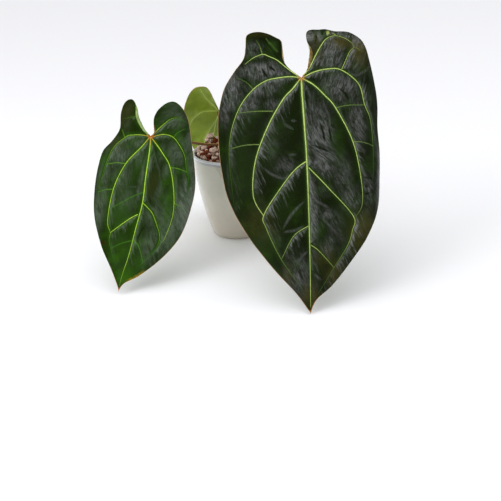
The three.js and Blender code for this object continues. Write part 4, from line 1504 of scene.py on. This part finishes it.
# Potting mix: loose stones on a dark bed. Each stone: x, y, height, its three sizes, and its tone.
DOME_TOP, DOME_FALL, DOME_REACH = 136.5, 9, 57.5
HEAP = {"x": -30, "y": 30, "rise": 9, "spread": 17}
PUMICE_SEEN = [
    (-36.5, 32, 145.2, 13.6, 12, 10.4, 0.75), (-42, 29, 140, 9, 8, 7.5, 0.9),
    (-27.3, 29, 142.6, 5, 5, 5.4, 0.85), (-55.2, 17.5, 130, 8.6, 9, 10.5, 0.55),
    (-46.4, 8.5, 134, 9.4, 9, 9.6, 0.7), (-31.3, -11.5, 135, 15.2, 11, 9.6, 0.8),
    (-26, -27.5, 133.4, 6, 6, 6.2, 0.85), (-31, -35.8, 131, 9, 6, 6, 0.9),
    (-51, 22, 132, 6, 6, 6, 0.4), (-55, 5, 129.5, 8, 9, 8, 0.6), (-50, -3, 130.5, 6, 7, 6, 0.8),
]
LAVA_SEEN = [
    (-29.6, 27, 141, 5.5, 5, 5, 0.5), (-38, 5.5, 136, 8, 7, 6.6, 0.35),
    (-30.4, 4, 137.6, 8.2, 7, 7, 0.3), (-41.8, -11.6, 132.6, 8, 8, 8.4, 0.75),
    (-49, -13.5, 130.2, 7.4, 7, 7.4, 0.4), (-39, -27.4, 131, 8, 7, 6.8, 0.6),
    (-43, 30, 136.5, 7, 6, 5, 0.45), (-37, -3, 134.5, 6, 6, 5, 0.2),
]
MIX_RADIUS = 58.2
LOOSE_STONES = 250
STEM_GAP = 8
# Stones are thrown at random: first large ones, then small ones, and they may crowd a little
THROWS, LARGE_THROWS = 9000, 2500
LARGE_RADII, SMALL_RADII = (2.8, 6.2), (1.8, 3.4)
CROWDING = 0.86
PUMICE_SHARE, LAVA_SHARE = 0.5, 0.35
# The kinds of stone: how many, their first seed, how many faces are cut, fineness, size of dents
STONE_KINDS = {
    "pumice": (5, 11, 6, 3, 0.55),
    "lava": (4, 31, 7, 3, 0.4),
    "bark": (3, 51, 8, 2, 0.8),
    "small": (6, 71, 6, 2, 0.6),
}
# How near its middle a stone may be cut, and how much of what is beyond the cut goes
CUT_REACH = (0.62, 0.86)
CUT_SHARE = 0.82
PIT_SIZE, WIDE_PIT_SIZE = 1.3, 3.25
BED_PROFILE = [
    (36, 5.6), (40, 8), (43, 16), (48.4, 42), (53.4, 70), (57.2, 98), (58.6, 112), (58.9, 123),
    (55, 126), (44, 129.6), (30, 132.6), (14, 134),
]
BED_SIDES = 72
BED_TOP = 124
BED_DEPTH = 3.4


def mix_height(x, y):
    """Height of the loose surface that the stones lie on."""
    dome = DOME_TOP - DOME_FALL * (math.hypot(x, y) / DOME_REACH) ** 2.4
    away = ((x - HEAP["x"]) ** 2 + (y - HEAP["y"]) ** 2) / (2 * HEAP["spread"] ** 2)
    return dome + HEAP["rise"] * math.exp(-away)


def chunk(name, seed, facets, fineness, dents):
    """A broken stone: a ball with flat faces cut off at random, then dented."""
    draw = random.Random(seed)
    deselect_all()
    bpy.ops.mesh.primitive_ico_sphere_add(subdivisions=fineness, radius=1, location=(0, 0, 0))
    stone = bpy.context.object
    stone.name = name
    for _ in range(facets):
        way = Vector([draw.gauss(0, 1) for _ in range(3)]).normalized()
        reach = draw.uniform(*CUT_REACH)
        for vertex in stone.data.vertices:
            over = vertex.co.dot(way) - reach
            if over > 0:
                vertex.co -= CUT_SHARE * over * way
    bpy.ops.object.mode_set(mode="EDIT")
    bpy.ops.mesh.select_all(action="SELECT")
    bpy.ops.transform.vertex_random(offset=0.05, uniform=0.3, normal=0.7, seed=seed)
    bpy.ops.mesh.vertices_smooth(factor=0.35)
    bpy.ops.object.mode_set(mode="OBJECT")
    texture = bpy.data.textures.new(name, "VORONOI")
    texture.noise_scale = dents
    texture.noise_intensity = 1.2
    add_modifier(stone, "DISPLACE", texture=texture, strength=0.045, mid_level=0.5)
    return stone


def scatter(name, kinds, places):
    """One mesh of many stones; places: (x, y, z, sizes, tone), each a copy of one of the kinds."""
    draw = random.Random(name)
    copies = []
    for x, y, z, wide, deep, high, shade in places:
        model = draw.choice(kinds)
        copy = bpy.data.objects.new(name, model.data.copy())
        bpy.context.scene.collection.objects.link(copy)
        turn = Matrix.Rotation(draw.uniform(-0.5, 0.5), 4, "X")
        spin = Matrix.Rotation(draw.uniform(-0.6, 0.6), 4, "Z")
        flip = Matrix.Rotation(draw.choice((0, math.pi)), 4, draw.choice("XYZ"))
        size = Matrix.Diagonal((wide / 2, deep / 2, high / 2, 1))
        copy.data.transform(
            Matrix.Scale(MM, 4) @ Matrix.Translation((x, y, z)) @ spin @ size @ turn @ flip
        )
        attribute = copy.data.attributes.new("shade", "FLOAT", "POINT")
        attribute.data.foreach_set("value", [shade] * len(copy.data.vertices))
        copies.append(copy)
    return join_pieces(name, copies)


def loose_places():
    """Places and radii of the stones that aren't listed, kept where they fit."""
    draw = random.Random(7)
    kept = [(x, y, (wide + deep) / 4) for x, y, _, wide, deep, _, _ in PUMICE_SEEN + LAVA_SEEN]
    kept.append((0, 0, STEM_GAP))
    found = []
    for attempt in range(THROWS):
        if len(found) == LOOSE_STONES:
            break
        radius = draw.uniform(*(LARGE_RADII if attempt < LARGE_THROWS else SMALL_RADII))
        reach = (MIX_RADIUS - radius) * math.sqrt(draw.random())
        angle = draw.uniform(0, 2 * math.pi)
        x, y = reach * math.cos(angle), reach * math.sin(angle)
        if all(math.hypot(x - a, y - b) > CROWDING * (radius + c) for a, b, c in kept):
            kept.append((x, y, radius))
            found.append((x, y, radius))
    return found


def loose_stones():
    """The stones that aren't listed, by their kind."""
    draw = random.Random(19)
    stones = {"pumice": [], "lava": [], "bark": []}
    for x, y, radius in loose_places():
        sizes = [2.15 * radius * draw.uniform(0.85, 1.2) for _ in range(3)]
        height = mix_height(x, y) - draw.uniform(0.5, 2.2)
        kind = draw.random()
        if kind < PUMICE_SHARE:
            stones["pumice"].append((x, y, height, *sizes, draw.uniform(0.2, 1)))
        elif kind < PUMICE_SHARE + LAVA_SHARE:
            stones["lava"].append((x, y, height, *sizes, draw.uniform(0.1, 0.9)))
        else:
            wide, deep, high = sizes
            stones["bark"].append((x, y, height, 1.3 * wide, deep, 0.45 * high, draw.random()))
    return stones


def stone_shade(tree):
    """The tone of the stone that a point is on."""
    return add(tree, "Attribute", attribute_type="GEOMETRY", attribute_name="shade").outputs[2]


def stone_finish(name, light, middle, dark, depth):
    """Porous stone: its tone differs from stone to stone, and its pits are painted darker, as
    shade in the holes.
    """
    material, tree = new_finish(name, middle, 0.93, {"Specular IOR Level": 0.2})
    place = object_place(tree)
    grain = cloud(tree, place, 420, 4.0, 0.65)
    pits = ease(tree, cells(tree, place, 1 / (PIT_SIZE * MM)), 0.16, 0.34, 1, 0)
    wide_pits = ease(tree, cells(tree, place, 1 / (WIDE_PIT_SIZE * MM)), 0.12, 0.26, 1, 0)
    # The pits are sunk by the bump and painted dark as shade in the holes
    holes = maths(tree, "MAXIMUM", pits, wide_pits)
    colour = layered(
        tree, middle,
        (stone_shade(tree), light),
        (ease(tree, grain, 0.38, 0.72, 0, 0.5), middle),
        (times(tree, holes, 0.75), dark),
    )
    bump = raised(tree, holes, -depth, 0.8)
    paint(tree, colour, raised(tree, grain, 0.4 * depth, 0.7, bump))
    return material


def bark_finish():
    """Chips of bark, fibrous, each with its own tone."""
    material, tree = new_finish("bark_chip", tone(92, 60, 38), 0.88)
    fibres = fibrous(tree, object_place(tree), 260, 5)
    colour = layered(
        tree, tone(70, 44, 28),
        (stone_shade(tree), tone(122, 84, 54)),
        (ease(tree, fibres, 0.4, 0.65, 0, 0.7), tone(44, 27, 18)),
    )
    paint(tree, colour, raised(tree, fibres, 0.5, 0.8))
    return material


def bed_finish():
    """The dark grit below the stones."""
    tones = (tone(26, 17, 13), tone(74, 50, 36))
    return grainy_finish(
        "mix_bed", tone(40, 27, 20), 0.95, (500, 5.0, 0.7), (0.35, 0.7), tones, (0.8, 0.9)
    )


def make_bed():
    """The body of the mix, which fills the pot up to the stones."""
    bed = turned("mix_bed", BED_PROFILE, BED_SIDES)
    for vertex in bed.data.vertices:
        x, y, z = vertex.co / MM
        if z > BED_TOP:
            vertex.co.z = (mix_height(x, y) - BED_DEPTH) * MM
    smooth(bed, 60)
    dress(bed, "substrate", bed_finish())
    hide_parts("potting_mix")


def make_mix():
    make_bed()
    kinds = {
        label: [chunk(f"{label}_kind_{i}", seed + i, *shape) for i in range(count)]
        for label, (count, seed, *shape) in STONE_KINDS.items()
    }
    loose = loose_stones()
    pale = stone_finish("pumice", tone(232, 206, 190), tone(134, 100, 80), tone(54, 32, 22), 0.5)
    red = stone_finish("lava_rock", tone(132, 62, 36), tone(82, 34, 20), tone(22, 10, 7), 0.6)
    for name, label, places, finish in (
        ("pumice_seen", "pumice", PUMICE_SEEN, pale),
        ("lava_seen", "lava", LAVA_SEEN, red),
        ("pumice_loose", "small", loose["pumice"], pale),
        ("lava_loose", "small", loose["lava"], red),
        ("bark_chips", "bark", loose["bark"], bark_finish()),
    ):
        dress(scatter(name, kinds[label], places), "substrate", finish)
    for models in kinds.values():
        for model in models:
            bpy.data.objects.remove(model)


# Stem, its aerial roots, and the dry sheaths
STEM_PROFILE = [
    (4.2, 92.4), (6.4, 100), (6, 112), (6.4, 117), (7.1, 120.4), (6.9, 122), (6.4, 123.4),
    (6.7, 127), (7.4, 130.6), (7.2, 132), (6.7, 133.6), (7, 137), (7.5, 140), (7.2, 141.4),
    (6.6, 142.6), (6.8, 145.6), (6.7, 148), (5.6, 150.6), (3.8, 153),
]
STEM_SIDES = 40
ROOT_SECTIONS, ROOT_SIDES, ROOT_RADIUS = 60, 14, 2.2
ROOTS = [
    [(0, 0, 130), (5, -13, 140), (12, -27, 142), (18, -38, 134), (22, -46, 117)],
    [(0, 0, 128), (12, -9, 138), (27, -17, 141), (38, -24, 133), (44, -28, 116)],
    [(0, 0, 132), (10, 12, 143), (20, 24, 145), (27, 34, 137), (31, 40, 119)],
    [(0, 0, 126), (-13, 6, 136), (-25, 9, 139), (-33, 12, 131), (-38, 14, 115)],
]
SHEATHS = {
    "cataphyll_1": {"turn": 0.75, "spread": 0.62, "height": 42, "lean": 8},
    "cataphyll_2": {"turn": -1.64, "spread": 0.24, "height": 27, "lean": 6},
}
SHEATH_BASE = 144.5
SHEATH_STEPS, SHEATH_ROWS = 22, 48
SHEATH_THICKNESS = 0.5
# How high a sheath's frills and ripples are, and how far its sides fall below its middle
SHEATH_FRILL, SHEATH_RIPPLE, SHEATH_FALL = 0.35, 0.25, 1.2
STEM_REACH = 7.2


def fibrous_finish(name, light, dark, scale, stretch, depth):
    """Dry plant matter with long fibres along +Z."""
    material, tree = new_finish(name, light, 0.85)
    place = object_place(tree)
    fibres = fibrous(tree, place, scale, stretch)
    colour = layered(
        tree, light,
        (ease(tree, fibres, 0.35, 0.68), dark),
        (ease(tree, cloud(tree, place, scale / 6, 3.0), 0.45, 0.7, 0, 0.5), dark),
    )
    paint(tree, colour, raised(tree, fibres, depth, 0.8))
    return material


def make_stem():
    stem = turned("stem_body", STEM_PROFILE, STEM_SIDES)
    texture = bpy.data.textures.new("stem_rumple", "CLOUDS")
    texture.noise_scale = 0.006
    add_modifier(stem, "SUBSURF", levels=1, render_levels=1)
    add_modifier(stem, "DISPLACE", texture=texture, strength=0.9 * MM, mid_level=0.5)
    smooth(stem)
    bark = fibrous_finish("stem_bark", tone(120, 104, 62), tone(62, 48, 28), 300, 0.35, 0.5)
    dress(stem, "stem", bark)
    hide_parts("stem")
    roots = []
    for i, route in enumerate(ROOTS):
        run = np.linspace(0, 1, ROOT_SECTIONS)
        radii = ROOT_RADIUS * (1.15 - 0.35 * run) * (1 + 0.05 * np.sin(37 * run + i))
        roots.append(tube(f"root_{i + 1}", smooth_route(route, ROOT_SECTIONS), radii, ROOT_SIDES))
    skin = fibrous_finish("root_skin", tone(150, 138, 104), tone(104, 88, 58), 240, 1, 0.3)
    dress(join_pieces("aerial_roots", roots), "stem", skin)


def make_sheath(node, plan, finish):
    """A dry sheath that hugs the stem and leans out to a torn point."""
    points = []
    for j in range(SHEATH_ROWS + 1):
        rise = j / SHEATH_ROWS
        half = plan["spread"] * (1 - rise**1.7) + 0.05
        reach = STEM_REACH + plan["lean"] * rise**1.6
        for i in range(SHEATH_STEPS + 1):
            way = 2 * i / SHEATH_STEPS - 1
            angle = plan["turn"] + half * way
            frill = SHEATH_FRILL * noise.noise(Vector((4 * way, 5 * rise, plan["turn"])))
            ripple = SHEATH_RIPPLE * math.sin(9 * way) * rise
            radius = reach + 0.4 + frill * (0.4 + rise) + ripple
            lift = SHEATH_BASE + plan["height"] * rise - SHEATH_FALL * rise * abs(way) ** 3
            points.append((radius * math.cos(angle), radius * math.sin(angle), lift))
    faces = grid_faces(SHEATH_ROWS + 1, SHEATH_STEPS + 1)
    sheath = mesh_object(node.replace("cataphyll", "sheath"), points, faces)
    merge_and_face(sheath, (math.cos(plan["turn"]), math.sin(plan["turn"]), 0))
    thicken(sheath, SHEATH_THICKNESS)
    smooth(sheath, 50)
    dress(sheath, "sheath", finish)
    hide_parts(node)


def make_sheaths():
    dry = fibrous_finish("dry_sheath", tone(168, 122, 72), tone(104, 66, 36), 330, 0.25, 0.35)
    for node, plan in SHEATHS.items():
        make_sheath(node, plan, dry)


place_camera()
light_the_scene()
make_floor()
make_leaves()
make_stalks()
make_pot()
make_mix()
make_stem()
make_sheaths()
